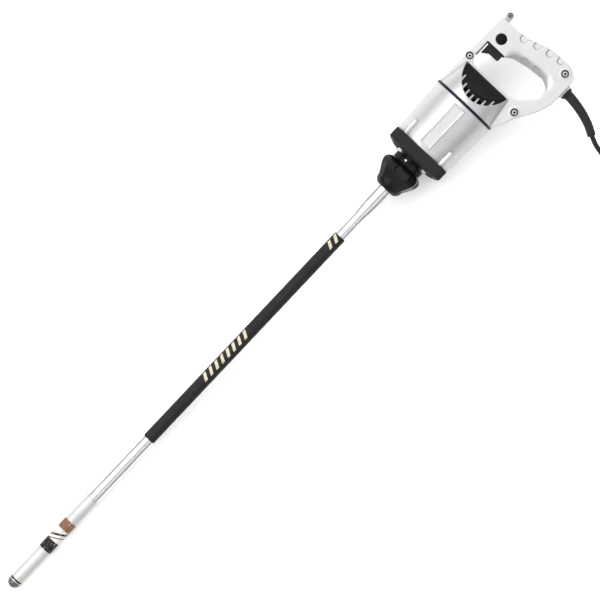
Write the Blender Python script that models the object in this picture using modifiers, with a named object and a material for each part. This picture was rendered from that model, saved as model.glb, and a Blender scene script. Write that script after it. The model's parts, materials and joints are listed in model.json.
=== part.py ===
"""Hand-held concrete vibrator: rigid lance, universal motor, D-handle and mains cord.

Metres, +Z up. The tool lies on its side with the handle flat, nose down, resting on the tip and on the
front edge of the square bumper. Everything but the cord is modelled on the tool's own axis, which runs
along +X from the tip to the handle with its origin at the tip, under the empty tool_axis that tilts it.
The cord, its coil and its plug are modelled straight on the floor.
"""

import math

import bmesh
import bpy
from mathutils import Matrix, Vector

# Driving dimensions
GAP = 0.0003  # between touching pieces
TIP_AT = Vector((-0.61045, 0.06385, 0.01077))  # where the tip's axis lies above the floor
TILT = math.radians(2.58)  # nose down

HEAD_R = 0.0115
HEAD_BORE_R = 0.0095
NOSE_END = 0.016
HEAD_END = 0.1944
SLEEVE_START = 0.3264
SLEEVE_END = 0.7732
PIPE_R = 0.0080
PIPE_BORE_R = 0.0056
SLEEVE_R = 0.0106
SHAFT_R = 0.0042
ADAPTER_END = 0.8944

KNOB_START = 0.8775
KNOB_END = 0.9260
KNOB_R = 0.0400  # at the corners of its section
NECK_FRONT = 0.8950
NECK_R = 0.0270
BUMPER_START = 0.9376
BUMPER_END = 0.9641
BUMPER_HALF = 0.0534  # half width across its flats
BUMPER_CORNER = 0.0080

HOUSING_START = 0.9644
HOUSING_END = 1.0593
HOUSING_FRONT_R = 0.0534
HOUSING_BACK_R = 0.0570
HOUSING_BORE_R = 0.0485
BOLT_OFFSET = 0.0380  # of each bumper screw from the axis, both ways
BULGE_START = 1.0636
BULGE_END = 1.1170
BULGE_FRONT_R = 0.0565
BULGE_BACK_R = 0.0490
BULGE_WALL = 0.0030

HANDLE_HALF = 0.0190  # half the handle's thickness
HANDLE_WALL = 0.0040
HANDLE_ROUND = 0.0042
SLOPE_FOOT = Vector((1.1156, 0.0, 0.0195))  # where the sloped vent face meets the handle
SLOPE = math.radians(39.4)
VENT_LENGTH = 0.0548
VENT_HALF = 0.0438
FIN_PITCH = 0.0102
FIN_COUNT = 7

TRIGGER_HALF = 0.0081
BUTTON_AT = Vector((1.1776, 0.0284, 0.0))
BUTTON_R = 0.0085

CORD_R = 0.0040
COIL_AT = Vector((0.5384, -0.2867, 0.0))
COIL_TURN_R = 0.0480  # at the middle of the turns
COIL_HALF_WIDTH = 0.0163
COIL_HEIGHT = 0.0152
COIL_LIFT = 0.0016

SEGMENTS = 32
SMALL_SEGMENTS = 16

# Corners of the handle in the tool's X and Y, each with the radius that rounds it.
HANDLE_OUTLINE = [
    (1.0640, -0.0572, 0),
    (1.0640, 0.0560, 0),
    (1.2050, 0.0517, 0.008),
    (1.2050, 0.0200, 0.030),
    (1.2085, -0.0020, 0.060),
    (1.2214, -0.0450, 0.060),
    (1.2214, -0.0860, 0.030),
    (1.2090, -0.1008, 0.014),
    (1.1560, -0.1008, 0.040),
    (1.1360, -0.0945, 0.060),
    (1.0980, -0.0725, 0.060),
]
HORN_OUTLINE = [
    (1.1950, 0.0372, 0),
    (1.2208, 0.0372, 0.0063),
    (1.2208, 0.0500, 0.0063),
    (1.1950, 0.0500, 0),
]
GRIP_OPENING = [
    (1.1184, -0.0500, 0.020),
    (1.1184, 0.0330, 0.006),
    (1.1270, 0.0424, 0.004),
    (1.1612, 0.0424, 0.002),
    (1.1612, 0.0050, 0.006),
    (1.1690, -0.0080, 0.020),
    (1.1745, -0.0360, 0.050),
    (1.1765, -0.0640, 0.020),
    (1.1690, -0.0785, 0.010),
    (1.1520, -0.0812, 0.014),
    (1.1380, -0.0710, 0.030),
]
TRIGGER_OUTLINE = [
    (1.1398, 0.0384, 0.0010),
    (1.1480, 0.0265, 0.0060),
    (1.1474, 0.0086, 0.0030),
    (1.1630, 0.0086, 0.0008),
    (1.1630, 0.0384, 0.0008),
]
# Each handle screw's place, and the radii of its boss, of its counterbore and of its head.
HANDLE_SCREWS = [
    (1.1244, 0.0472, 0.0086, 0.0064, 0.0042),
    (1.2144, 0.0436, 0.0064, 0.0046, 0.0034),
    (1.1072, -0.0664, 0.0086, 0.0064, 0.0042),
    (1.2068, -0.0832, 0.0086, 0.0064, 0.0042),
]
SCREW_SHANK_R = 0.0021
SCREW_SEAT = 0.0132  # height of the counterbore's floor above the handle's split plane

# The middle of the cord guard in the tool's frame, and the cord's route over the floor.
GUARD_ROUTE = [
    (1.1864, -0.1060, 0.0),
    (1.1858, -0.1180, 0.0),
    (1.1836, -0.1330, -0.0004),
    (1.1796, -0.1500, -0.0012),
    (1.1733, -0.1670, -0.0024),
    (1.1652, -0.1820, -0.0040),
]
CORD_ROUTE = [
    (0.5537, -0.1188, 0.0590),
    (0.5477, -0.1337, 0.0563),
    (0.5449, -0.1507, 0.0495),
    (0.5445, -0.1687, 0.0385),
    (0.5475, -0.1862, 0.0255),
    (0.5540, -0.2027, 0.0135),
    (0.5625, -0.2157, 0.0066),
    (0.5689, -0.2242, 0.0046),
]

# Looks: colour, roughness and metallic value
POLISHED = ("polished_steel", (0.72, 0.73, 0.74), 0.15, 1.0)
SATIN = ("satin_steel", (0.62, 0.63, 0.64), 0.32, 1.0)
DARK_STEEL = ("dark_steel", (0.10, 0.10, 0.11), 0.35, 1.0)
SCREW_STEEL = ("screw_steel", (0.45, 0.45, 0.47), 0.30, 1.0)
CAST = ("cast_aluminium", (0.78, 0.79, 0.78), 0.42, 0.7)
BLACK_PLASTIC = ("black_plastic", (0.015, 0.015, 0.017), 0.45, 0.0)
BLACK_RUBBER = ("black_rubber", (0.012, 0.012, 0.013), 0.70, 0.0)
NAVY = ("navy_gasket", (0.01, 0.015, 0.05), 0.45, 0.0)
BAND = ("painted_band", (0.04, 0.03, 0.03), 0.40, 0.0)
COPPER = ("copper", (0.80, 0.38, 0.20), 0.30, 1.0)
CORE_STEEL = ("core_steel", (0.25, 0.25, 0.27), 0.50, 1.0)
CARBON = ("carbon", (0.04, 0.04, 0.04), 0.60, 0.0)
BRASS = ("brass", (0.75, 0.58, 0.25), 0.30, 1.0)
LIGHT_PLASTIC = ("light_plastic", (0.75, 0.75, 0.72), 0.50, 0.0)


def empty_scene():
    """Removes what the scene holds, and makes the collections for the parts and the cutters."""
    for obj in list(bpy.data.objects):
        bpy.data.objects.remove(obj, do_unlink=True)
    made = []
    for name in ("concrete_vibrator", "cutters"):
        group = bpy.data.collections.new(name)
        bpy.context.scene.collection.children.link(group)
        made.append(group)
    return made


PARTS, CUTTERS = empty_scene()


def look(recipe):
    """The Principled material of a recipe, made once."""
    name, colour, roughness, metallic = recipe
    if name in bpy.data.materials:
        return bpy.data.materials[name]
    material = bpy.data.materials.new(name)
    material.use_nodes = True
    shader = material.node_tree.nodes["Principled BSDF"]
    shader.inputs["Base Color"].default_value = (*colour, 1)
    shader.inputs["Roughness"].default_value = roughness
    shader.inputs["Metallic"].default_value = metallic
    material.diffuse_color = (*colour, 1)
    return material


def empty(name, parent=None, at=(0, 0, 0), turn=(0, 0, 0)):
    obj = bpy.data.objects.new(name, None)
    obj.empty_display_size = 0.02
    obj.parent = parent
    obj.location = at
    obj.rotation_euler = turn
    PARTS.objects.link(obj)
    return obj


TOOL = empty("tool_axis", at=TIP_AT, turn=(0, -TILT, 0))
LANCE = empty("lance_slide", TOOL)
KNOB = empty("knob_axis", LANCE)
ECCENTRIC = empty("eccentric_axis", LANCE)
ARMATURE = empty("armature_axis", TOOL)
TRIGGER = empty("trigger_slide", TOOL, at=(1.1552, 0.0235, 0.0))
BUTTON = empty("button_slide", TOOL, at=BUTTON_AT)


def add(obj, recipe=None, parent=TOOL):
    """Puts an object in the parts, or among the cutters when it has no look."""
    for group in list(obj.users_collection):
        group.objects.unlink(obj)
    (PARTS if recipe else CUTTERS).objects.link(obj)
    obj.parent = parent
    obj.data.materials.clear()
    if recipe:
        obj.data.materials.append(look(recipe))
    else:
        obj.hide_render = True
        obj.display_type = "WIRE"
    return obj


def area(corners):
    """Twice the signed area of a closed polygon."""
    following = corners[1:] + corners[:1]
    return sum(a[0] * b[1] - b[0] * a[1] for a, b in zip(corners, following, strict=True))


def turned(name, profile, recipe=None, parent=TOOL, segments=SEGMENTS, **place):
    """A turned solid: profile holds the section's (x, radius) corners, turned about the object's X."""
    corners = list(profile)
    if area(corners) < 0:
        corners.reverse()
    solid = min(radius for _, radius in corners) <= 0
    while solid and not (corners[0][1] <= 0 and corners[-1][1] <= 0):
        corners.append(corners.pop(0))
    mesh = bpy.data.meshes.new(name)
    count = len(corners)
    edges = [(i, (i + 1) % count) for i in range(count - 1 if solid else count)]
    mesh.from_pydata([(x, radius, 0) for x, radius in corners], edges, [])
    obj = bpy.data.objects.new(name, mesh)
    screw = obj.modifiers.new("turn", "SCREW")
    screw.axis = "X"
    screw.steps = screw.render_steps = segments
    screw.use_merge_vertices = True
    screw.merge_threshold = 0.00001
    add(obj, recipe, parent)
    return put(obj, **place)


def put(obj, at=(0, 0, 0), turn=(0, 0, 0)):
    obj.location = at
    obj.rotation_euler = turn
    return obj


def box(name, low, high, recipe=None, parent=TOOL):
    """A box between two corners in its parent's frame."""
    low, high = Vector(low), Vector(high)
    bpy.ops.mesh.primitive_cube_add(size=1)
    obj = bpy.context.object
    obj.name = obj.data.name = name
    obj.data.transform(Matrix.Diagonal((*(high - low), 1)))
    add(obj, recipe, parent)
    return put(obj, at=(low + high) / 2)


def rod(name, start, end, radius, recipe=None, parent=TOOL, end_radius=None, segments=SMALL_SEGMENTS):
    """A cylinder, or a cone with end_radius, between two points in its parent's frame."""
    start, end = Vector(start), Vector(end)
    bpy.ops.mesh.primitive_cone_add(
        vertices=segments,
        radius1=radius,
        radius2=radius if end_radius is None else end_radius,
        depth=(end - start).length,
    )
    obj = bpy.context.object
    obj.name = obj.data.name = name
    obj.data.shade_smooth()
    obj.data.set_sharp_from_angle(angle=math.radians(40))
    add(obj, recipe, parent)
    put(obj, at=(start + end) / 2)
    obj.rotation_euler = (end - start).to_track_quat("Z", "Y").to_euler()
    return obj


def rounded(corners, step=math.radians(38)):
    """The points of a closed outline whose (x, y, radius) corners are rounded by arcs."""
    points = []
    for i, (x, y, radius) in enumerate(corners):
        here = Vector((x, y))
        before = (Vector(corners[i - 1][:2]) - here).normalized()
        after = (Vector(corners[(i + 1) % len(corners)][:2]) - here).normalized()
        half = before.angle(after) / 2
        if radius == 0:
            points.append(here)
            continue
        middle = here + (before + after).normalized() * (radius / math.sin(half))
        start = here + before * (radius / math.tan(half)) - middle
        sweep = math.pi - 2 * half
        if before.cross(after) > 0:
            sweep = -sweep
        count = max(1, math.ceil(abs(sweep) / step))
        for k in range(count + 1):
            points.append(middle + Matrix.Rotation(sweep * k / count, 2) @ start)
    return points


def offset(corners, distance):
    """Rounded corners moved outwards by a distance, or inwards by a negative one."""
    moved = []
    way = 1 if area([corner[:2] for corner in corners]) > 0 else -1
    for i, (x, y, radius) in enumerate(corners):
        here = Vector((x, y))
        arriving = (here - Vector(corners[i - 1][:2])).normalized()
        leaving = (Vector(corners[(i + 1) % len(corners)][:2]) - here).normalized()
        normal = Vector((arriving.y + leaving.y, -arriving.x - leaving.x)).normalized()
        share = normal.dot(Vector((leaving.y, -leaving.x)))
        place = here + normal * (way * distance / share)
        bulges = way * arriving.cross(leaving) > 0
        grown = radius + distance if bulges else radius - distance
        moved.append((*place, max(0.001, grown) if radius else 0))
    return moved


def meshed(curve, recipe=None, parent=TOOL):
    """The mesh object of a curve, with its caps welded on."""
    name = curve.name
    bpy.context.scene.collection.objects.link(curve)
    graph = bpy.context.evaluated_depsgraph_get()
    mesh = bpy.data.meshes.new_from_object(curve.evaluated_get(graph))
    work = bmesh.new()
    work.from_mesh(mesh)
    bmesh.ops.remove_doubles(work, verts=work.verts, dist=0.00001)
    bmesh.ops.recalc_face_normals(work, faces=work.faces)
    work.to_mesh(mesh)
    work.free()
    mesh.shade_smooth()
    mesh.set_sharp_from_angle(angle=math.radians(35))
    obj = bpy.data.objects.new(name, mesh)
    obj.matrix_world = curve.matrix_world
    bpy.data.objects.remove(curve)
    obj.name = mesh.name = name
    return add(obj, recipe, parent)


def plate(name, outlines, low, high, recipe=None, parent=TOOL):
    """A flat plate between two heights: the first outline is its edge and the others are holes."""
    curve = bpy.data.curves.new(name + "_outline", "CURVE")
    curve.dimensions = "2D"
    curve.fill_mode = "BOTH"
    curve.extrude = (high - low) / 2
    for points in outlines:
        spline = curve.splines.new("POLY")
        spline.points.add(len(points) - 1)
        for point, (x, y) in zip(spline.points, points, strict=True):
            point.co = (x, y, 0, 1)
        spline.use_cyclic_u = True
    obj = meshed(bpy.data.objects.new(name, curve), recipe, parent)
    obj.data.transform(Matrix.Translation((0, 0, (low + high) / 2)))
    return obj


def smooth_points(route, spacing, radii=None):
    """Points about a spacing apart on the Catmull-Rom curve through a route, with their radii."""
    route = [Vector(p) for p in route]
    radii = radii or [1.0] * len(route)
    ends = [2 * route[0] - route[1], *route, 2 * route[-1] - route[-2]]
    found = []
    for i in range(1, len(route)):
        a, b, c, d = ends[i - 1 : i + 3]
        count = max(1, round((c - b).length / spacing))
        for k in range(count):
            t = k / count
            point = 0.5 * (2 * b + (c - a) * t + (2 * a - 5 * b + 4 * c - d) * t**2)
            point += 0.5 * (3 * b - a - 3 * c + d) * t**3
            found.append((point, radii[i - 1] + (radii[i] - radii[i - 1]) * t))
    return [*found, (route[-1], radii[-1])]


def tube(name, points, radius, recipe=None, parent=TOOL, resolution=3, closed=False):
    """A round tube along (point, share of the radius) pairs."""
    curve = bpy.data.curves.new(name + "_line", "CURVE")
    curve.dimensions = "3D"
    curve.bevel_depth = radius
    curve.bevel_resolution = resolution
    curve.use_fill_caps = True
    spline = curve.splines.new("POLY")
    spline.points.add(len(points) - 1)
    for place, (point, share) in zip(spline.points, points, strict=True):
        place.co = (*point, 1)
        place.radius = share
    spline.use_cyclic_u = closed
    return meshed(bpy.data.objects.new(name, curve), recipe, parent)


def combine(obj, *others, how="DIFFERENCE", solver="EXACT"):
    """Cuts the others from an object, or joins them to it, in turn."""
    for other in others:
        step = obj.modifiers.new(f"{how.lower()}_{other.name}", "BOOLEAN")
        step.operation = how
        step.object = other
        step.solver = solver
    return obj


def bake(obj):
    """Makes an object's modifiers its mesh."""
    graph = bpy.context.evaluated_depsgraph_get()
    mesh = bpy.data.meshes.new_from_object(obj.evaluated_get(graph))
    work = bmesh.new()
    work.from_mesh(mesh)
    flat = math.radians(0.2)
    bmesh.ops.dissolve_limit(work, angle_limit=flat, verts=work.verts, edges=work.edges)
    bmesh.ops.triangulate(work, faces=work.faces)
    work.to_mesh(mesh)
    work.free()
    obj.modifiers.clear()
    obj.data = mesh
    mesh.shade_smooth()
    mesh.set_sharp_from_angle(angle=math.radians(35))
    return obj


def lofted(name, outline, stations, recipe=None, parent=TOOL):
    """A solid whose section, an outline in Y and Z, is scaled at each (x, scale) station."""
    work = bmesh.new()
    x, scale = stations[0]
    ring = [work.verts.new((x, y * scale, z * scale)) for y, z in outline]
    face = work.faces.new(ring)
    for (x, scale), (next_x, next_scale) in zip(stations, stations[1:], strict=False):
        made = bmesh.ops.extrude_face_region(work, geom=[face])["geom"]
        moving = [v for v in made if isinstance(v, bmesh.types.BMVert)]
        for vertex in moving:
            vertex.co.x = next_x
            vertex.co.y *= next_scale / scale
            vertex.co.z *= next_scale / scale
        old = face
        face = next(f for f in made if isinstance(f, bmesh.types.BMFace))
        if (x, scale) != stations[0]:
            bmesh.ops.delete(work, geom=[old], context="FACES_ONLY")
    bmesh.ops.recalc_face_normals(work, faces=work.faces)
    mesh = bpy.data.meshes.new(name)
    work.to_mesh(mesh)
    work.free()
    return add(bpy.data.objects.new(name, mesh), recipe, parent)


def ring_profile(start, end, inner, outer):
    return [(start, inner), (start, outer), (end, outer), (end, inner)]


def rod_profile(start, end, radius):
    return ring_profile(start, end, 0, radius)


def grooved(stations, grooves, depth, width):
    """The outer side of a turned piece, with narrow grooves cut at some x."""
    points = []
    for (x, radius), (next_x, next_radius) in zip(stations, stations[1:], strict=False):
        points.append((x, radius))
        for groove in grooves:
            if x < groove < next_x:
                here = radius + (next_radius - radius) * (groove - x) / (next_x - x)
                edge = width / 2
                points += [(groove - edge, here), (groove - edge, here - depth)]
                points += [(groove + edge, here - depth), (groove + edge, here)]
    return [*points, stations[-1]]


def build_head():
    """The vibrating head: nose, tube, painted band, and the bearings and seal inside."""
    dome_end, dome_r, count = 0.0126, 0.0112, 5
    dome = []
    for i in range(count + 1):
        x = dome_end * (1 - math.cos(math.pi / 2 * i / count))
        share = 1 - ((NOSE_END - x) / NOSE_END) ** 2
        dome.append((x, dome_r * math.sqrt(max(0, share))))
    spigot_r = HEAD_BORE_R - GAP
    groove = [(dome_end, 0.0099), (0.0146, 0.0099), (0.0146, HEAD_R - GAP), (NOSE_END, HEAD_R - GAP)]
    spigot = [(NOSE_END, spigot_r), (0.0245, spigot_r), (0.0245, 0)]
    turned("head_nose", [*dome, *groove, *spigot], DARK_STEEL, LANCE, 24)

    band_start, band_end, band_depth = 0.0820, 0.1440, 0.0006
    tube_start, tube_end = NOSE_END + GAP, HEAD_END - GAP
    outer = [(tube_start, HEAD_R), (band_start, HEAD_R), (band_start, HEAD_R - band_depth)]
    outer += [(band_end, HEAD_R - band_depth), (band_end, HEAD_R), (tube_end, HEAD_R)]
    inner = [(tube_end, HEAD_BORE_R), (tube_start, HEAD_BORE_R)]
    turned("head_tube", [*outer, *inner], SATIN, LANCE, 24)
    band = ring_profile(band_start + GAP, band_end - GAP, HEAD_R - 0.0003, HEAD_R + 0.0001)
    turned("head_band", band, BAND, LANCE, 24)

    seat_r = HEAD_BORE_R - GAP
    inside = (
        ("head_bearing_front", 0.0280, 0.0360, SCREW_STEEL),
        ("head_bearing_rear", 0.1560, 0.1650, SCREW_STEEL),
        ("head_oil_seal", 0.1680, 0.1730, BLACK_RUBBER),
    )
    for name, start, end, recipe in inside:
        turned(name, ring_profile(start, end, 0.0043, seat_r), recipe, LANCE, 24)


def build_eccentric():
    """The eccentric weight on its journals, and the drive shaft that turns it."""
    journal_r, weight_r = 0.0040, 0.0084
    profile = [(0.0262, 0), (0.0262, journal_r), (0.0400, journal_r), (0.0400, weight_r)]
    profile += [(0.1500, weight_r), (0.1500, journal_r), (0.1745, journal_r), (0.1745, 0)]
    weight = turned("eccentric_weight", profile, CORE_STEEL, ECCENTRIC, 24)
    combine(weight, box("eccentric_relief", (0.0405, -0.02, 0.0020), (0.1495, 0.02, 0.02), None, ECCENTRIC))

    start, end = 0.1750, 0.9050
    shaft = turned("drive_shaft", rod_profile(start, end, SHAFT_R), CORE_STEEL, ECCENTRIC, 20)
    square = box("drive_shaft_square", (end - 0.002, -0.0028, -0.0028), (0.9350, 0.0028, 0.0028))
    square.parent = ECCENTRIC
    combine(shaft, square, how="UNION")


def build_lance():
    """The head's coupling, the steel pipe, its rubber sleeve and the upper adapter."""
    pipe_start, pipe_end = 0.3003, 0.7997
    seat_r = PIPE_R + GAP
    front = [(0.1765, HEAD_BORE_R - GAP), (HEAD_END, HEAD_BORE_R - GAP)]
    outer = grooved(
        [(HEAD_END, 0.0111), (0.2920, 0.0109), (SLEEVE_START - GAP, SLEEVE_R)],
        (0.2915, 0.3020),
        0.0005,
        0.0012,
    )
    bore = [(SLEEVE_START - GAP, seat_r), (pipe_start - GAP, seat_r)]
    bore += [(pipe_start - GAP, 0.0050), (0.1765, 0.0050)]
    turned("head_coupling", [*front, *outer, *bore], POLISHED, LANCE, 24)

    turned("inner_pipe", ring_profile(pipe_start, pipe_end, PIPE_BORE_R, PIPE_R), SATIN, LANCE, 24)
    sleeve = ring_profile(SLEEVE_START, SLEEVE_END, PIPE_R + GAP, SLEEVE_R)
    turned("grip_sleeve", sleeve, BLACK_RUBBER, LANCE, 24)
    for name, x in (("shaft_bush_front", 0.4200), ("shaft_bush_middle", 0.5600), ("shaft_bush_rear", 0.7000)):
        bush = ring_profile(x, x + 0.0120, SHAFT_R + GAP, PIPE_BORE_R - GAP)
        turned(name, bush, BRASS, LANCE, SMALL_SEGMENTS)

    flange_start, flange_r, pilot_end, pilot_r = 0.8846, 0.0216, 0.9120, 0.0110
    start = SLEEVE_END + GAP
    outer = grooved(
        [(start, 0.0104), (0.8160, 0.0104), (0.8400, 0.0136), (flange_start, 0.0139)],
        (0.7880, 0.8060),
        0.0006,
        0.0012,
    )
    flange = [(flange_start, flange_r), (ADAPTER_END, flange_r), (ADAPTER_END, pilot_r), (pilot_end, pilot_r)]
    bore = [(pilot_end, 0.0050), (pipe_end + GAP, 0.0050), (pipe_end + GAP, seat_r), (start, seat_r)]
    turned("upper_adapter", [*outer, *flange, *bore], POLISHED, LANCE, 24)


def build_knob():
    """The union nut: a square section with broad chamfered corners, a pocket in each broad face."""
    corners = [math.radians(a) for quarter in range(4) for a in (90 * quarter - 66.1, 90 * quarter - 40.1)]
    section = [(KNOB_R * math.cos(a), KNOB_R * math.sin(a)) for a in corners]
    stations = [(KNOB_START, 14.6), (0.8800, 19.0), (0.8836, 22.8), (0.9080, 37.8), (0.9144, 40.0)]
    stations += [(0.9190, 39.6), (0.9228, 36.0), (0.9250, 30.5), (KNOB_END, 29.6)]
    knob = lofted("coupling_knob", section, [(x, r / 40) for x, r in stations], BLACK_PLASTIC, KNOB)
    front = [(KNOB_START, 0), (KNOB_START, 0.0172), (0.8800, 0.0202), (0.8830, 0.0228), (0.8860, 0.0241)]
    front += [(0.8920, 0.0248), (0.8960, 0.0248), (0.8960, 0)]
    combine(knob, turned("knob_front", front, None, KNOB, 28), how="UNION")
    hollow = [(KNOB_START - 0.001, 0), (KNOB_START - 0.001, 0.0143), (0.8843, 0.0143), (0.8843, 0.0220)]
    hollow += [(NECK_FRONT, 0.0220), (NECK_FRONT, 0.0240), (KNOB_END + 0.001, 0.0240), (KNOB_END + 0.001, 0)]
    combine(knob, turned("knob_hollow", hollow, None, KNOB, 28))
    for quarter in range(4):
        angle = math.radians(90 * quarter - 8.1)
        out = Vector((0, math.cos(angle), math.sin(angle)))
        middle = Vector((0.9130, 0, 0))
        start, end = middle + out * 0.0300, middle + out * 0.0400
        combine(knob, rod(f"knob_pocket_{quarter}", start, end, 0.0070, None, KNOB))


def build_neck():
    """The neck casting with its threaded spigot, the set screw, the bumper and its screws."""
    thread_r, thread_root_r, pitch, turns = 0.0237, 0.0229, 0.0075, 4
    thread = []
    for i in range(turns):
        x = NECK_FRONT + pitch * i
        thread += [(x, thread_root_r), (x + pitch / 2, thread_r)]
    ring_start, ring_end, waist_r, flange_r = KNOB_END + GAP, 0.9370, 0.0228, 0.0452
    outer = [*thread, (ring_start, thread_root_r)]
    outer += [(ring_start, NECK_R), (ring_end, NECK_R), (ring_end, waist_r)]
    outer += [(0.9515, waist_r), (0.9515, flange_r), (BUMPER_END, flange_r)]
    inner = [(BUMPER_END, 0.0133), (0.9457, 0.0133), (0.9457, 0.0113), (NECK_FRONT, 0.0113)]
    neck = turned("neck", [*outer, *inner], BLACK_PLASTIC, segments=28)
    angle = math.radians(90 - 14.5)
    out = Vector((0, math.cos(angle), math.sin(angle)))
    at = Vector((0.9342, 0, 0))
    combine(neck, rod("set_screw_hole", at + out * 0.020, at + out * 0.030, 0.0024, segments=16))
    rod("neck_set_screw", at + out * 0.0203, at + out * 0.0275, 0.0021, SCREW_STEEL, segments=16)

    flat, edge = BUMPER_HALF, BUMPER_HALF - BUMPER_CORNER
    section = [(flat, -edge), (flat, edge), (edge, flat), (-edge, flat)]
    section += [(-flat, edge), (-flat, -edge), (-edge, -flat), (edge, -flat)]
    stations = [(BUMPER_START, 32), (0.9436, 50), (0.9450, 53), (0.9462, 53.4), (0.9630, 53.4), (BUMPER_END, 52.6)]
    bumper = lofted("front_bumper", section, [(x, r / 53.4) for x, r in stations], BLACK_RUBBER)
    hollow = [(0.9370, 0), (0.9370, 0.0315), (0.9412, waist_r + GAP), (0.9512, waist_r + GAP)]
    hollow += [(0.9512, flange_r + GAP), (BUMPER_END + 0.001, flange_r + GAP), (BUMPER_END + 0.001, 0)]
    combine(bumper, turned("bumper_hollow", hollow, segments=28))
    reach, recess = 0.0300, 0.9416
    combine(bumper, box("bumper_recess_y", (0.9300, -reach, -0.0600), (recess, reach, 0.0600)))
    combine(bumper, box("bumper_recess_z", (0.9300, -0.0600, -reach), (recess, 0.0600, reach)))
    for number, (side, up) in enumerate(((1, 1), (-1, 1), (-1, -1), (1, -1)), start=1):
        y, z = side * BOLT_OFFSET, up * BOLT_OFFSET
        head_seat = 0.9500
        seat = rod(f"bumper_screw_seat_{number}", (0.930, y, z), (head_seat, y, z), 0.0048, segments=12)
        hole = rod(f"bumper_screw_hole_{number}", (0.949, y, z), (0.966, y, z), 0.0026, segments=10)
        combine(bumper, seat, hole)
        head = [(head_seat - 0.0040, 0), (head_seat - 0.0040, 0.0030), (head_seat - 0.0032, 0.0042)]
        head += [(head_seat - GAP, 0.0042), (head_seat - GAP, SCREW_SHANK_R), (0.9800, SCREW_SHANK_R), (0.9800, 0)]
        screw = turned(f"bumper_screw_{number}", head, SCREW_STEEL, TOOL, 12, at=(0, y, z))
        recess = turned(f"bumper_screw_drive_{number}", rod_profile(0.9440, 0.9478, 0.0018), None, TOOL, 6)
        combine(screw, put(recess, at=(0, y, z)))


def build_housing():
    """The cast motor housing with its four screw bosses and its blank name panel, and the gasket."""
    profile = [(HOUSING_START, 0), (HOUSING_START, HOUSING_FRONT_R), (HOUSING_END, HOUSING_BACK_R)]
    housing = turned("motor_housing", [*profile, (HOUSING_END, 0)], CAST, segments=36)
    for number, (side, up) in enumerate(((1, 1), (-1, 1), (-1, -1), (1, -1)), start=1):
        y, z = side * BOLT_OFFSET, up * BOLT_OFFSET
        start, end = (HOUSING_START, y, z), (0.9940, y * 0.98, z * 0.98)
        boss = rod(f"housing_boss_{number}", start, end, 0.0068, end_radius=0.0050, segments=16)
        combine(housing, boss, how="UNION")
        hole = rod(f"housing_boss_hole_{number}", (0.960, y, z), (0.9830, y, z), 0.0025, segments=12)
        combine(housing, hole)
    taper = math.atan2(HOUSING_BACK_R - HOUSING_FRONT_R, HOUSING_END - HOUSING_START)
    panel = box("housing_panel", (-0.0405, -0.0102, -0.0040), (0.0405, 0.0102, 0.0004))
    put(panel, at=(1.0115, 0.0014, 0.0554), turn=(0, -taper, 0))
    combine(housing, panel, how="UNION")
    bore = rod_profile(HOUSING_START - 0.001, HOUSING_END + 0.001, HOUSING_BORE_R)
    combine(housing, turned("housing_bore", bore, segments=36))
    turned("gasket_ring", ring_profile(HOUSING_END + GAP, BULGE_START - GAP, 0.0500, 0.0574), NAVY, segments=36)


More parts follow.
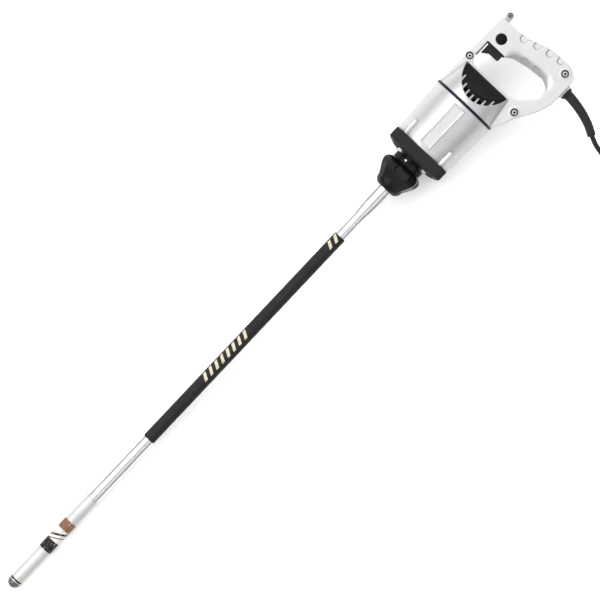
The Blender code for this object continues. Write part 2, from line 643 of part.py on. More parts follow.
def build_motor():
    """The stator and its coils, the armature, the bearings, the brushes and the bearing bridge."""
    core_start, core_end = 0.9880, 1.0380
    outer = HOUSING_BORE_R - GAP
    stator = turned("stator_core", ring_profile(core_start, core_end, 0.0280, outer), CORE_STEEL)
    for name, up in (("stator_slot_near", 1), ("stator_slot_far", -1)):
        low, high = sorted((up * 0.0200, up * 0.0410))
        combine(stator, box(name, (core_start - 0.001, -0.0165, low), (core_end + 0.001, 0.0165, high)))
    coil_r, wire_r, reach, lean = 0.0350, 0.0042, 0.0046, math.radians(78)
    for name, side in (("field_coil_top", 1), ("field_coil_bottom", -1)):
        ends = ((core_end + reach, 1), (core_start - reach, -1))
        loop = []
        for x, way in ends:
            for i in range(9):
                angle = way * lean * (1 - i / 4)
                y, z = side * coil_r * math.cos(angle), coil_r * math.sin(angle)
                loop.append(((x, y, z), 1.0))
        tube(name, loop, wire_r, COPPER, resolution=2, closed=True)

    shaft = [(0.9443, 0), (0.9443, 0.0049), (1.1040, 0.0049), (1.1040, 0)]
    turned("armature_shaft", shaft, CORE_STEEL, ARMATURE, SMALL_SEGMENTS)
    turned("armature_core", ring_profile(0.9860, 1.0400, 0.0052, 0.0272), CORE_STEEL, ARMATURE)
    turned("commutator", ring_profile(1.0660, 1.0830, 0.0052, 0.0140), COPPER, ARMATURE, 24)
    socket = turned("drive_socket", rod_profile(0.9180, 0.9440, 0.0085), CORE_STEEL, ARMATURE, SMALL_SEGMENTS)
    square = box("drive_socket_square", (0.9170, -0.0032, -0.0032), (0.9400, 0.0032, 0.0032), None, ARMATURE)
    combine(socket, square)
    fan = turned("cooling_fan", ring_profile(0.9660, 0.9685, 0.0052, 0.0420), BLACK_PLASTIC, ARMATURE)
    hub = turned("fan_hub", ring_profile(0.9664, 0.9770, 0.0052, 0.0100), None, ARMATURE, SMALL_SEGMENTS)
    combine(fan, hub, how="UNION")
    blades = 6
    for i in range(blades):
        angle = 2 * math.pi * i / blades
        blade = box(f"fan_blade_{i}", (0.9675, 0.0120, -0.0008), (0.9755, 0.0405, 0.0008), None, ARMATURE)
        spot = Matrix.Rotation(angle, 3, "X") @ blade.location
        put(blade, at=spot, turn=(angle + math.radians(20), 0, 0))
        combine(fan, blade, how="UNION")

    turned("motor_bearing_front", ring_profile(0.9460, 0.9570, 0.0052, 0.0130), SCREW_STEEL, segments=24)
    turned("motor_bearing_rear", ring_profile(1.0900, 1.0980, 0.0052, 0.0113), SCREW_STEEL, segments=24)
    bridge = [(1.0600, 0.0440), (1.0600, 0.0496), (1.0630, 0.0496), (1.0890, 0.0150), (1.0990, 0.0150)]
    bridge += [(1.0990, 0.0116), (1.0870, 0.0116), (1.0870, 0.0140), (1.0640, 0.0440)]
    bridge = turned("bearing_bridge", bridge, BLACK_PLASTIC, segments=24)
    for name, low, high in (
        ("bridge_window_y", (1.0665, -0.0600, -0.0070), (1.0815, 0.0600, 0.0070)),
        ("bridge_window_z", (1.0665, -0.0100, -0.0600), (1.0815, 0.0100, 0.0600)),
    ):
        combine(bridge, box(name, low, high))
    for name, side in (("top", 1), ("bottom", -1)):
        low, high = sorted((side * 0.0165, side * 0.0400))
        holder = box(f"brush_holder_{name}", (1.0690, low, -0.0060), (1.0790, high, 0.0060), BRASS)
        low, high = sorted((side * 0.0100, side * 0.0380))
        combine(holder, box(f"brush_slot_{name}", (1.0706, low, -0.0040), (1.0774, high, 0.0040)))
        low, high = sorted((side * 0.0143, side * 0.0290))
        box(f"carbon_brush_{name}", (1.0710, low, -0.0036), (1.0770, high, 0.0036), CARBON)


def slope_frame(side, depth=0.0):
    """The matrix of the sloped vent face: X runs up the slope, Z points out of it."""
    up = Vector((-math.cos(SLOPE), 0, math.sin(SLOPE)))
    out = Vector((math.sin(SLOPE), 0, math.cos(SLOPE)))
    across = out.cross(up)
    frame = Matrix((up, across, out)).transposed().to_4x4()
    frame.translation = SLOPE_FOOT + out * depth
    mirror = Matrix.Diagonal((1, 1, side, 1))
    return mirror @ frame


def on_slope(obj, side=1, depth=0.0):
    """Moves an object that was made on the level to the sloped vent face."""
    obj.data.transform(slope_frame(side, depth))
    if side < 0:
        obj.data.flip_normals()
    return obj


def moon_reach(share):
    """How far the half moon reaches at a share of its half width, as a share of its length."""
    return (math.sqrt(1.0621 - share**2) - 0.2492) / 0.7814


def half_moon(length, half_width, start=0.0, count=14):
    """The shape in which a sloped plane cuts the bulge, with its straight side at start."""
    points = []
    for i in range(count + 1):
        side = math.sin(math.pi * (i / count - 0.5))
        points.append(Vector((start + (length - start) * moon_reach(side), half_width * side)))
    return points


def cone_section(name, grow, start, end, slope_depth):
    """The rear bulge: a cone cut by the sloped vent faces, grown or shrunk all round."""
    profile = [(start, 0), (start, BULGE_FRONT_R + grow), (end, BULGE_BACK_R + grow), (end, 0)]
    cone = turned(name, profile, segments=36)
    keep = box(f"{name}_slope", (-0.03, -0.08, 0.0), (0.10, 0.08, 0.08))
    keep.data.transform(keep.matrix_basis)
    put(keep)
    combine(cone, on_slope(keep, 1, slope_depth))
    return cone


def handle_blank():
    """The near half of the handle before its screw holes: a shell open at the split plane."""
    outline, opening = rounded(HANDLE_OUTLINE), rounded(GRIP_OPENING)
    blank = plate("handle_half_near", [outline, opening], -0.0020, HANDLE_HALF, CAST)
    weights = blank.data.attributes.new("bevel_weight_edge", "FLOAT", "EDGE")
    for edge in blank.data.edges:
        ends = [blank.data.vertices[i].co for i in edge.vertices]
        if all(end.z > HANDLE_HALF - 0.0001 for end in ends):
            weights.data[edge.index].value = 1.0
    bevel = blank.modifiers.new("round", "BEVEL")
    bevel.limit_method = "WEIGHT"
    bevel.width = HANDLE_ROUND
    bevel.segments = 2

    combine(blank, cone_section("bulge", 0.0, BULGE_START, BULGE_END, 0.0), how="UNION", solver="MANIFOLD")
    combine(blank, plate("handle_horn", [rounded(HORN_OUTLINE)], -0.0010, 0.0160), how="UNION", solver="MANIFOLD")
    inner_edge = rounded(offset(HANDLE_OUTLINE, -HANDLE_WALL))
    inner_opening = rounded(offset(GRIP_OPENING, HANDLE_WALL))
    hollow = plate("grip_hollow", [inner_edge, inner_opening], -0.01, 0.0150)
    inner_cone = cone_section("bulge_hollow", -BULGE_WALL, 1.0600, 1.1120, -HANDLE_WALL)
    combine(blank, hollow, inner_cone, solver="MANIFOLD")
    for number, (x, y, boss_r, _, _) in enumerate(HANDLE_SCREWS, start=1):
        boss = rod(f"screw_boss_{number}", (x, y, -0.0010), (x, y, HANDLE_HALF + GAP), boss_r)
        combine(blank, boss, how="UNION", solver="MANIFOLD")

    window = on_slope(plate("vent_window", [half_moon(VENT_LENGTH, VENT_HALF)], -0.0120, 0.0050))
    combine(blank, window, solver="MANIFOLD")
    for i in range(FIN_COUNT):
        y = FIN_PITCH * (i - (FIN_COUNT - 1) / 2)
        arc = VENT_LENGTH * moon_reach(y / VENT_HALF)
        bar = box_outline(arc - 0.0130, arc + 0.0009, y - 0.0014, y + 0.0014)
        fin = plate(f"vent_fin_{i}", [bar], -0.003, 0)
        combine(blank, on_slope(fin), how="UNION", solver="MANIFOLD")

    combine(blank, box("trigger_opening", (1.1560, 0.0066, -0.01), (1.1700, 0.0408, 0.0110)), solver="MANIFOLD")
    combine(blank, rod("cord_opening", (1.1864, -0.110, 0), (1.1864, -0.090, 0), 0.0062), solver="MANIFOLD")
    combine(blank, box("below_split", (1.0, -0.2, -0.1), (1.3, 0.2, GAP / 2)), solver="MANIFOLD")
    return bake(blank)


def box_outline(low_x, high_x, low_y, high_y):
    return [Vector(p) for p in ((low_x, low_y), (high_x, low_y), (high_x, high_y), (low_x, high_y))]


def build_handle():
    """The two clamshell halves, the screws that hold them, and the vent covers under the fins."""
    near = handle_blank()
    far = bpy.data.objects.new("handle_half_far", near.data.copy())
    far.data.transform(Matrix.Diagonal((1, 1, -1, 1)))
    far.data.flip_normals()
    add(far, CAST)
    for number, (x, y, _, seat_r, head_r) in enumerate(HANDLE_SCREWS, start=1):
        seat = rod(f"screw_seat_{number}", (x, y, SCREW_SEAT), (x, y, 0.03), seat_r, segments=16)
        hole = rod(f"screw_hole_{number}", (x, y, -0.0140), (x, y, 0.0140), 0.0025, segments=12)
        combine(near, seat, hole, solver="MANIFOLD")
        combine(far, hole, solver="MANIFOLD")
        top = SCREW_SEAT + 0.0042
        profile = [(-0.0130, 0), (-0.0130, SCREW_SHANK_R), (SCREW_SEAT + GAP, SCREW_SHANK_R)]
        profile += [(SCREW_SEAT + GAP, head_r), (top - 0.0008, head_r), (top, head_r - 0.0010), (top, 0)]
        upright = (0, -math.pi / 2, 0)
        screw = turned(f"handle_screw_{number}", profile, SCREW_STEEL, TOOL, 16, at=(x, y, 0), turn=upright)
        combine(screw, rod(f"screw_drive_{number}", (x, y, top - 0.002), (x, y, top + 0.001), 0.0017, segments=6))
    opening = rod("button_opening", (*BUTTON_AT.xy, 0.010), (*BUTTON_AT.xy, 0.030), BUTTON_R + GAP)
    combine(near, opening, solver="MANIFOLD")

    cover_outline = half_moon(VENT_LENGTH - 0.0004, VENT_HALF - 0.0004, start=0.0004)
    pad_outline = half_moon(0.0364, 0.0400, start=0.0004, count=10)
    for name, side in (("vent_cover_near", 1), ("vent_cover_far", -1)):
        cover = on_slope(plate(name, [cover_outline], -0.0062, -0.0034, BLACK_PLASTIC), side)
        pad = on_slope(plate(f"{name}_pad", [pad_outline], -0.0050, -0.0010), side)
        combine(cover, pad, how="UNION")
        for i in range(FIN_COUNT - 1):
            y = FIN_PITCH * (i - (FIN_COUNT - 2) / 2)
            arc = VENT_LENGTH * moon_reach(y / VENT_HALF)
            slot = box_outline(arc - 0.0115, arc - 0.0025, y - 0.0030, y + 0.0030)
            combine(cover, on_slope(plate(f"{name}_slot_{i}", [slot], -0.0080, -0.0030), side))


def build_switch():
    """The switch with its bezel, the trigger with its spring, and the lock-on button."""
    switch = box("switch_body", (1.1700, 0.0040, -0.0130), (1.1920, 0.0420, 0.0084), BLACK_PLASTIC)
    sleeve = box("switch_sleeve", (1.1586, 0.0069, -0.0107), (1.1710, 0.0405, 0.0107))
    bezel = box("switch_bezel", (1.1586, 0.0058, -0.0125), (1.1609, 0.0410, 0.0125))
    lip = box("switch_lip", (1.1324, 0.0402, -0.0107), (1.1600, 0.0420, 0.0107))
    pocket = box("switch_pocket", (1.1500, 0.0079, -0.0085), (1.1700, 0.0392, 0.0085))
    combine(switch, sleeve, bezel, lip, how="UNION")
    combine(switch, pocket)

    outline = [point - Vector(TRIGGER.location.xy) for point in rounded(TRIGGER_OUTLINE)]
    trigger = plate("trigger", [outline], -TRIGGER_HALF, TRIGGER_HALF, BLACK_PLASTIC, TRIGGER)
    spring_start, spring_end, spring_r, wire_r = -0.0028, 0.0142, 0.0034, 0.0005
    pocket = rod("trigger_pocket", (spring_start - 0.0004, 0, 0), (0.02, 0, 0), 0.0044, None, TRIGGER)
    combine(trigger, pocket)
    turns, per_turn = 6, 9
    helix = []
    for i in range(turns * per_turn + 1):
        angle = 2 * math.pi * i / per_turn
        x = spring_start + wire_r + (spring_end - spring_start - 2 * wire_r) * i / (turns * per_turn)
        helix.append(((x, spring_r * math.cos(angle), spring_r * math.sin(angle)), 1.0))
    tube("trigger_spring", helix, wire_r, SCREW_STEEL, TRIGGER, resolution=0)

    profile = [(0.0135, 0), (0.0135, BUTTON_R + 0.0012), (0.0145, BUTTON_R + 0.0012), (0.0145, BUTTON_R)]
    profile += [(0.0208, BUTTON_R), (0.0216, BUTTON_R - 0.0010), (0.0219, BUTTON_R - 0.0040), (0.0219, 0)]
    turned("lock_button", profile, BLACK_PLASTIC, BUTTON, 24, turn=(0, -math.pi / 2, 0))


def build_cord():
    """The washer and the guard at the handle, the cord, its coil and tie, and the plug."""
    x = GUARD_ROUTE[0][0]
    washer = rod("cord_washer", (x, -0.1038, 0), (x, -0.1011, 0), 0.0124, LIGHT_PLASTIC, segments=32)
    combine(washer, rod("cord_washer_hole", (x, -0.110, 0), (x, -0.095, 0), 0.0063))

    radii = [1.0, 0.98, 0.95, 0.92, 0.88, 0.85]
    guard = tube("cord_guard", smooth_points(GUARD_ROUTE, 0.008, radii), 0.0080, BLACK_RUBBER, resolution=2)
    collar = rod("guard_collar", (x, -0.1041, 0), (x, -0.1085, 0), 0.0108)
    collar_neck = rod("guard_neck", (x, -0.1070, 0), (x, -0.0925, 0), 0.0059)
    clamp = rod("guard_clamp", (x, -0.0960, 0), (x, -0.0920, 0), 0.0088)
    combine(guard, collar, collar_neck, clamp, how="UNION")

    tube("power_cord", smooth_points(CORD_ROUTE, 2 * CORD_R), CORD_R, BLACK_RUBBER, None, resolution=2)

    low, high, chamfer = COIL_LIFT, COIL_LIFT + COIL_HEIGHT, 0.0035
    inner, outer = COIL_TURN_R - COIL_HALF_WIDTH, COIL_TURN_R + COIL_HALF_WIDTH
    profile = [(low, inner + chamfer), (low, outer - chamfer), (low + chamfer, outer), (high - chamfer, outer)]
    profile += [(high, outer - chamfer), (high, inner + chamfer), (high - chamfer, inner), (low + chamfer, inner)]
    upright = (0, -math.pi / 2, 0)
    turned("cord_coil", profile, BLACK_RUBBER, None, at=COIL_AT, turn=upright)

    tie_at = COIL_AT + Vector((COIL_TURN_R, 0, 0)) @ Matrix.Rotation(math.radians(-20), 3, "Z")
    tie_half_width, strap = 0.0045, 0.0010
    across = COIL_HALF_WIDTH + 3 * GAP
    loop = [(-across, low - GAP, 0), (across, low - GAP, 0), (across, high + GAP, 0), (-across, high + GAP, 0)]
    outlines = [rounded(offset(loop, strap)), rounded(loop)]
    tie = plate("coil_tie", outlines, -tie_half_width, tie_half_width, BLACK_PLASTIC, None)
    put(tie, at=tie_at, turn=(math.pi / 2, 0, math.radians(20)))

    line_y, line_z = COIL_AT.y - 0.0560, COIL_LIFT + 0.0103
    start = COIL_AT.x - 0.0412
    relief = [(0, 0.0046), (0.0150, 0.0058), (0.0220, 0.0080)]
    body = [(0.0220, 0.0105), (0.0250, 0.0118), (0.0520, 0.0118), (0.0580, 0.0112)]
    profile = [(0, 0), *relief, *body, (0.0580, 0)]
    turned_about = (0, 0, math.pi)
    turned("plug_body", profile, BLACK_PLASTIC, None, 24, at=(start, line_y, line_z), turn=turned_about)
    for name, side in (("plug_blade_left", 1), ("plug_blade_right", -1)):
        y = line_y + side * 0.00635
        end = start - 0.0580 - GAP
        box(name, (end - 0.0170, y - 0.00075, line_z - 0.0032), (end, y + 0.00075, line_z + 0.0032), BRASS, None)


build_head()
build_eccentric()
build_lance()
build_knob()
build_neck()
build_housing()
build_motor()
build_handle()
build_switch()
build_cord()
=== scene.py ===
"""Looks of a hand-held concrete vibrator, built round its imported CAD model.

Metres, +Z up. Most pieces are modelled in the tool's own frame, whose X axis runs from the nose to the
handle, and placed by the matrix TOOL. The cord, its coil and its plug are modelled straight on the floor.
"""

import json
import math

import bmesh
import bpy
import numpy as np
from mathutils import Matrix, Vector


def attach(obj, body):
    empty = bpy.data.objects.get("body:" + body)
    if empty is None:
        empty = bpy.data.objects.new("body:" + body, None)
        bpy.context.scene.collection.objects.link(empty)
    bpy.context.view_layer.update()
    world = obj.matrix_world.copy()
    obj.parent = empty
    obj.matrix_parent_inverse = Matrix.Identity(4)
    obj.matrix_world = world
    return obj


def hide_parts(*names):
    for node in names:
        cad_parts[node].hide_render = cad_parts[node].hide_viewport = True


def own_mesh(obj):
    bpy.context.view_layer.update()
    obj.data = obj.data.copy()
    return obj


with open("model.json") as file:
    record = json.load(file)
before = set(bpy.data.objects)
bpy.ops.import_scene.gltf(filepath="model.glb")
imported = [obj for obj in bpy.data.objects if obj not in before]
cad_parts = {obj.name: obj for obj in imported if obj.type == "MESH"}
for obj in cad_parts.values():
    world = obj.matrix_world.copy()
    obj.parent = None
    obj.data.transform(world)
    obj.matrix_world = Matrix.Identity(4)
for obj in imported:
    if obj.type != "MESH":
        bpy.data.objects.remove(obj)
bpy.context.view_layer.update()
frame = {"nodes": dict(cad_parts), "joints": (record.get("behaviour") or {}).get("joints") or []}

SPIN = next(joint for joint in frame["joints"] if joint["name"] == "armature_spin")
TIP = Vector(SPIN["pos_m"])
TURN = Vector(SPIN["axis"]).to_track_quat("X", "Z").to_matrix().to_4x4()
TOOL = Matrix.Translation(TIP) @ TURN
FLOOR_FRAME = Matrix.Identity(4)
SHARP = math.radians(32)
GAP = 0.0003


# Node materials ---------------------------------------------------------------------------------


def add_node(tree, kind, **inputs):
    """A shader node whose named inputs are linked to sockets or set to values."""
    made = tree.nodes.new(kind)
    for name, value in inputs.items():
        socket = made.inputs[name.replace("_", " ")]
        if isinstance(value, bpy.types.NodeSocket):
            tree.links.new(value, socket)
        else:
            socket.default_value = value
    return made


def add_math(tree, how, a, b=0.0):
    made = tree.nodes.new("ShaderNodeMath")
    made.operation = how
    for socket, value in zip(made.inputs, (a, b), strict=False):
        if isinstance(value, bpy.types.NodeSocket):
            tree.links.new(value, socket)
        else:
            socket.default_value = value
    return made.outputs[0]


def add_span(tree, value, low, high, to_low=0.0, to_high=1.0):
    limits = {"From_Min": low, "From_Max": high, "To_Min": to_low, "To_Max": to_high}
    return add_node(tree, "ShaderNodeMapRange", Value=value, **limits).outputs["Result"]


class Look:
    """A Principled material with helpers that add procedural detail in object coordinates."""

    def __init__(self, name, colour, roughness, metallic=0.0, **sockets):
        self.material = bpy.data.materials.new(name)
        self.material.use_nodes = True
        self.tree = self.material.node_tree
        self.shader = self.tree.nodes["Principled BSDF"]
        self.shader.inputs["Base Color"].default_value = (*colour, 1)
        self.shader.inputs["Roughness"].default_value = roughness
        self.shader.inputs["Metallic"].default_value = metallic
        for socket, value in sockets.items():
            self.shader.inputs[socket.replace("_", " ")].default_value = value
        place = self.tree.nodes.new("ShaderNodeMapping")
        place.vector_type = "TEXTURE"
        place.inputs["Location"].default_value = TOOL.translation
        place.inputs["Rotation"].default_value = TOOL.to_euler()
        self.link(self.tree.nodes.new("ShaderNodeTexCoord").outputs["Object"], place.inputs["Vector"])
        self.coords = place.outputs["Vector"]
        self.colour = None
        self.rough = None
        self.normal = None
        self.base = (*colour, 1)
        self.base_rough = roughness

    def node(self, kind, **inputs):
        return add_node(self.tree, kind, **inputs)

    def link(self, source, socket):
        self.tree.links.new(source, socket)

    def scaled(self, size, stretch=(1, 1, 1)):
        steps = [1 / (size * s) for s in stretch]
        return self.node("ShaderNodeMapping", Vector=self.coords, Scale=steps).outputs[0]

    def noise(self, size, stretch=(1, 1, 1), detail=3.0, rough=0.5):
        """Noise whose features are about size across, drawn out by stretch along the axes."""
        sockets = {"Vector": self.scaled(size, stretch), "Scale": 1.0, "Detail": detail, "Roughness": rough}
        return self.node("ShaderNodeTexNoise", **sockets).outputs["Fac"]

    def cells(self, size):
        return self.node("ShaderNodeTexVoronoi", Vector=self.scaled(size), Scale=1.0).outputs["Distance"]

    def span(self, *value_and_limits):
        return add_span(self.tree, *value_and_limits)

    def math(self, how, a, b=0.0):
        return add_math(self.tree, how, a, b)

    def times(self, first, *others):
        for other in others:
            first = self.math("MULTIPLY", first, other)
        return first

    def stain(self, share, colour, roughness):
        """Another colour with another roughness where share is 1."""
        return self.tint(share, colour).roughen(share, roughness)

    def axis(self, letter):
        return self.node("ShaderNodeSeparateXYZ", Vector=self.coords).outputs[letter]

    def between(self, value, low, high, edge=0.0002):
        """1 where a value lies between two limits, with soft edges."""
        rise = self.span(value, low - edge, low + edge)
        return self.times(rise, self.span(value, high - edge, high + edge, 1.0, 0.0))

    def mixed(self, kind, share, before, base, after):
        """Mixes one value over what came before, or over the base if nothing did."""
        mix = self.tree.nodes.new("ShaderNodeMix")
        mix.data_type = kind
        first, result = (6, 2) if kind == "RGBA" else (2, 0)
        self.link(share, mix.inputs[0])
        if before is None:
            mix.inputs[first].default_value = base
        else:
            self.link(before, mix.inputs[first])
        mix.inputs[first + 1].default_value = after
        return mix.outputs[result]

    def tint(self, share, colour):
        """Mixes a colour in where share is 1."""
        self.colour = self.mixed("RGBA", share, self.colour, self.base, (*colour, 1))
        return self

    def roughen(self, share, roughness):
        """Moves the roughness to a value where share is 1."""
        self.rough = self.mixed("FLOAT", share, self.rough, self.base_rough, roughness)
        return self

    def bump(self, height, distance, strength=1.0):
        made = self.node("ShaderNodeBump", Height=height, Distance=distance, Strength=abs(strength))
        made.invert = strength < 0
        if self.normal is not None:
            self.link(self.normal, made.inputs["Normal"])
        self.normal = made.outputs["Normal"]
        return self

    def wear(self, colour, roughness, low=0.52, high=0.58, amount=1.0):
        """Rubs the convex edges through to another colour."""
        edges = self.node("ShaderNodeNewGeometry").outputs["Pointiness"]
        patches = self.span(self.noise(0.006, detail=5.0), 0.35, 0.65)
        return self.stain(self.times(self.span(edges, low, high, 0.0, amount), patches), colour, roughness)

    def crease_shade(self, colour, low=0.42, high=0.494, amount=0.85):
        """Paints shade into the creases and the hollows: darker where the surface curves inwards."""
        creases = self.node("ShaderNodeNewGeometry").outputs["Pointiness"]
        return self.stain(self.span(creases, low, high, amount, 0.0), colour, 0.85)

    def done(self):
        for source, name in ((self.colour, "Base Color"), (self.rough, "Roughness"), (self.normal, "Normal")):
            if source is not None:
                self.link(source, self.shader.inputs[name])


def shade(colour, factor, lift=0.0):
    return tuple(c * factor + lift for c in colour)


def casting(name, colour=(0.56, 0.565, 0.565), vented=False):
    """Silver-lacquered fine aluminium casting; when vented, painted shade colours the inside behind the vents
    near black.
    """
    look = Look(name, colour, 0.40, 0.62, Coat_Weight=0.12, Coat_Roughness=0.25)
    look.tint(look.span(look.noise(0.030, detail=4.0), 0.35, 0.75, 0.0, 0.5), shade(colour, 0.86))
    look.tint(look.span(look.noise(0.0011, detail=2.0), 0.60, 0.75, 0.0, 0.45), shade(colour, 1.2))
    look.roughen(look.span(look.noise(0.012, detail=4.0), 0.35, 0.7), 0.50)
    grain = look.noise(0.0009, detail=4.0, rough=0.6)
    pits = look.span(look.cells(0.0016), 0.0, 0.35)
    look.bump(grain, 0.00022, 0.45).bump(pits, 0.00008, 0.35)
    look.bump(look.noise(0.010, detail=2.0), 0.0006, 0.25)
    if vented:
        # Painted shade: surfaces inside the rear bulge, under the sloped vent face, are coloured near black.
        x, y, z = look.axis("X"), look.axis("Y"), look.math("ABSOLUTE", look.axis("Z"))
        radius = look.math("POWER", look.math("ADD", look.times(y, y), look.times(z, z)), 0.5)
        skin = look.math("ADD", radius, look.times(x, 0.1404))
        inside = look.span(skin, 0.2034, 0.2044, 1.0, 0.0)
        depth = look.math("ADD", look.times(x, 0.6347), look.times(z, 0.7727))
        below = look.span(depth, 0.7193, 0.7199, 1.0, 0.0)
        ahead = look.span(x, 1.1140, 1.1150, 1.0, 0.0)
        look.stain(look.times(inside, below, ahead), (0.012, 0.012, 0.012), 0.9)
    # Painted shade in the creases and hollows, then lighter rubbed convex edges (wear).
    return look.crease_shade((0.06, 0.06, 0.055)).wear((0.78, 0.78, 0.77), 0.28, 0.53, 0.60, 0.6)


def steel(name, colour, roughness, lines, line_depth, metallic=1.0, smudge=0.12, along=False):
    """Turned or ground steel: fine lines round the axis, or along it, with smudges and light scratches."""
    look = Look(name, colour, roughness, metallic)
    stretch = (60, 1, 1) if along else (1, 60, 60)
    turning = look.noise(lines, stretch, detail=4.0, rough=0.65)
    look.bump(turning, line_depth, 0.6)
    look.tint(look.span(turning, 0.35, 0.65, 0.0, 0.55), shade(colour, 0.82))
    stains = look.noise(0.022, (2.2, 1, 1), detail=5.0, rough=0.6)
    look.tint(look.span(stains, 0.52, 0.72, 0.0, 0.35), shade(colour, 0.75))
    look.roughen(look.span(stains, 0.40, 0.70), min(0.95, roughness + smudge))
    scratches = look.span(look.noise(0.0012, (18, 1.2, 1.2), detail=1.0), 0.66, 0.70)
    look.roughen(scratches, min(0.95, roughness + 0.22)).bump(scratches, 0.00004, -0.6)
    return look


def plastic(name, colour, roughness, grain=0.0007, depth=0.00010, worn=(0.06, 0.06, 0.063), shine=0.24):
    """Moulded plastic with a fine spark-eroded grain, faint dust and rubbed edges."""
    look = Look(name, colour, roughness, 0.0, Specular_IOR_Level=shine)
    look.tint(look.span(look.noise(0.018, detail=5.0), 0.45, 0.75, 0.0, 0.5), shade(colour, 1.7, 0.004))
    look.roughen(look.span(look.noise(0.009, detail=4.0), 0.35, 0.7), min(0.95, roughness + 0.16))
    look.bump(look.noise(grain, detail=3.0, rough=0.6), depth, 0.5)
    look.bump(look.noise(0.006, detail=2.0), 0.0003, 0.15)
    return look.wear(worn, roughness - 0.08, 0.52, 0.60, 0.5)


def rubber(name, colour, roughness, grain=0.0006, depth=0.00016, dust=(0.045, 0.045, 0.045)):
    """Rubber with a fine skin and a little pale dust."""
    look = Look(name, colour, roughness, 0.0, Specular_IOR_Level=0.24)
    look.tint(look.span(look.noise(0.014, detail=6.0, rough=0.65), 0.50, 0.80, 0.0, 0.40), dust)
    look.roughen(look.span(look.noise(0.007, detail=4.0), 0.35, 0.7), min(0.98, roughness + 0.15))
    skin = look.noise(grain, detail=4.0, rough=0.65)
    return look.bump(skin, depth, 0.6).bump(look.span(look.cells(0.0011), 0.0, 0.5), 0.00006, 0.3)


SCREW_SEAT = 0.0132


def nose_look():
    look = steel("nose_steel", (0.16, 0.16, 0.17), 0.34, 0.0005, 0.00006)
    x = look.axis("X")
    look.tint(look.between(x, 0.0118, 0.0134), (0.74, 0.75, 0.74))
    look.tint(look.between(x, 0.0134, 0.0162), (0.03, 0.03, 0.03))
    chips = look.span(look.noise(0.0022, detail=6.0, rough=0.7), 0.56, 0.62)
    return look.tint(chips, (0.34, 0.34, 0.34)).bump(chips, 0.00010, -0.7)


def head_look():
    look = steel("head_steel", (0.66, 0.67, 0.66), 0.52, 0.0006, 0.00006, metallic=0.75)
    near_nose = look.span(look.axis("X"), 0.018, 0.034, 0.5, 0.0)
    return look.tint(near_nose, (0.55, 0.60, 0.52))


def band_look():
    """A printed sleeve of plain bands: black, pale with a dark stripe, and copper."""
    gloss = {"Specular_IOR_Level": 0.25, "Coat_Weight": 0.04, "Coat_Roughness": 0.2}
    look = Look("band_print", (0.007, 0.006, 0.005), 0.38, 0.0, **gloss)
    x = look.axis("X")
    look.tint(look.between(x, 0.1025, 0.1262), (0.74, 0.72, 0.69))
    slant = look.math("ADD", x, look.times(look.axis("Y"), 0.6))
    for low, high in ((0.1072, 0.1092), (0.1138, 0.1182)):
        look.tint(look.between(slant, low, high), (0.030, 0.018, 0.020))
    look.tint(look.between(x, 0.1262, 0.1450), (0.20, 0.095, 0.046))
    scuffs = look.span(look.noise(0.0035, (3, 1, 1), detail=6.0, rough=0.7), 0.57, 0.64)
    look.tint(scuffs, (0.42, 0.38, 0.33)).roughen(scuffs, 0.65)
    return look.bump(look.noise(0.0009, (1, 20, 20), detail=3.0), 0.00005, 0.4).bump(scuffs, 0.00005, -0.8)


def sleeve_look():
    """Ribbed rubber with two plain groups of slanted cream bars on its upper side."""
    look = rubber("sleeve_rubber", (0.012, 0.0115, 0.011), 0.58, 0.0010, 0.00030)
    x, y, z = look.axis("X"), look.axis("Y"), look.axis("Z")
    weave = look.math("SINE", look.times(x, 2 * math.pi / 0.0016))
    look.bump(look.times(weave, look.noise(0.003, (4, 1, 1))), 0.00010, 0.35)
    slant = look.math("SUBTRACT", x, look.times(y, 0.55))
    phase = look.math("FRACT", look.math("DIVIDE", look.math("SUBTRACT", slant, 0.4575), 0.0132))
    bars = look.between(phase, 0.04, 0.48, 0.02)
    side = look.times(look.between(y, -0.0033, 0.0087, 0.0003), look.span(z, 0.0, 0.0004))
    groups = look.math("ADD", look.between(slant, 0.4570, 0.5570), look.between(slant, 0.7475, 0.7800))
    worn = look.span(look.noise(0.0018, detail=6.0, rough=0.7), 0.36, 0.46)
    return look.stain(look.times(bars, groups, side, worn), (0.66, 0.60, 0.44), 0.48)


def socket_screw_look():
    """A zinc-plated head, with painted shade down its side and inside its socket."""
    look = steel("zinc_socket_screw", (0.52, 0.52, 0.53), 0.30, 0.0003, 0.00003)
    shade_below = look.span(look.axis("Z"), SCREW_SEAT + 0.0030, SCREW_SEAT + 0.0034, 1.0, 0.0)
    # Painted shade: below 3 mm above the seat (the head's lower side, the shank and the socket's floor) the
    # colour goes near black.
    return look.stain(shade_below, (0.02, 0.02, 0.02), 0.7)


def copper_look():
    look = Look("copper_wire", (0.17, 0.06, 0.028), 0.30, 1.0, Coat_Weight=0.5, Coat_Roughness=0.1)
    turns = look.noise(0.0009, (25, 1, 1), detail=2.0)
    look.tint(look.span(turns, 0.4, 0.6, 0.0, 0.7), (0.12, 0.035, 0.015))
    return look.bump(turns, 0.0004, 0.8)


def commutator_look():
    """Copper segments with dark gaps, worn by the brushes."""
    look = Look("commutator_copper", (0.30, 0.15, 0.09), 0.30, 1.0)
    across = look.noise(0.0010, (30, 1, 1), detail=1.0)
    look.tint(look.span(across, 0.56, 0.60), (0.05, 0.04, 0.04)).bump(across, 0.0003, 0.8)
    worn = look.between(look.axis("X"), 1.0700, 1.0780, 0.0006)
    return look.tint(look.times(worn, look.noise(0.002)), (0.10, 0.06, 0.045))


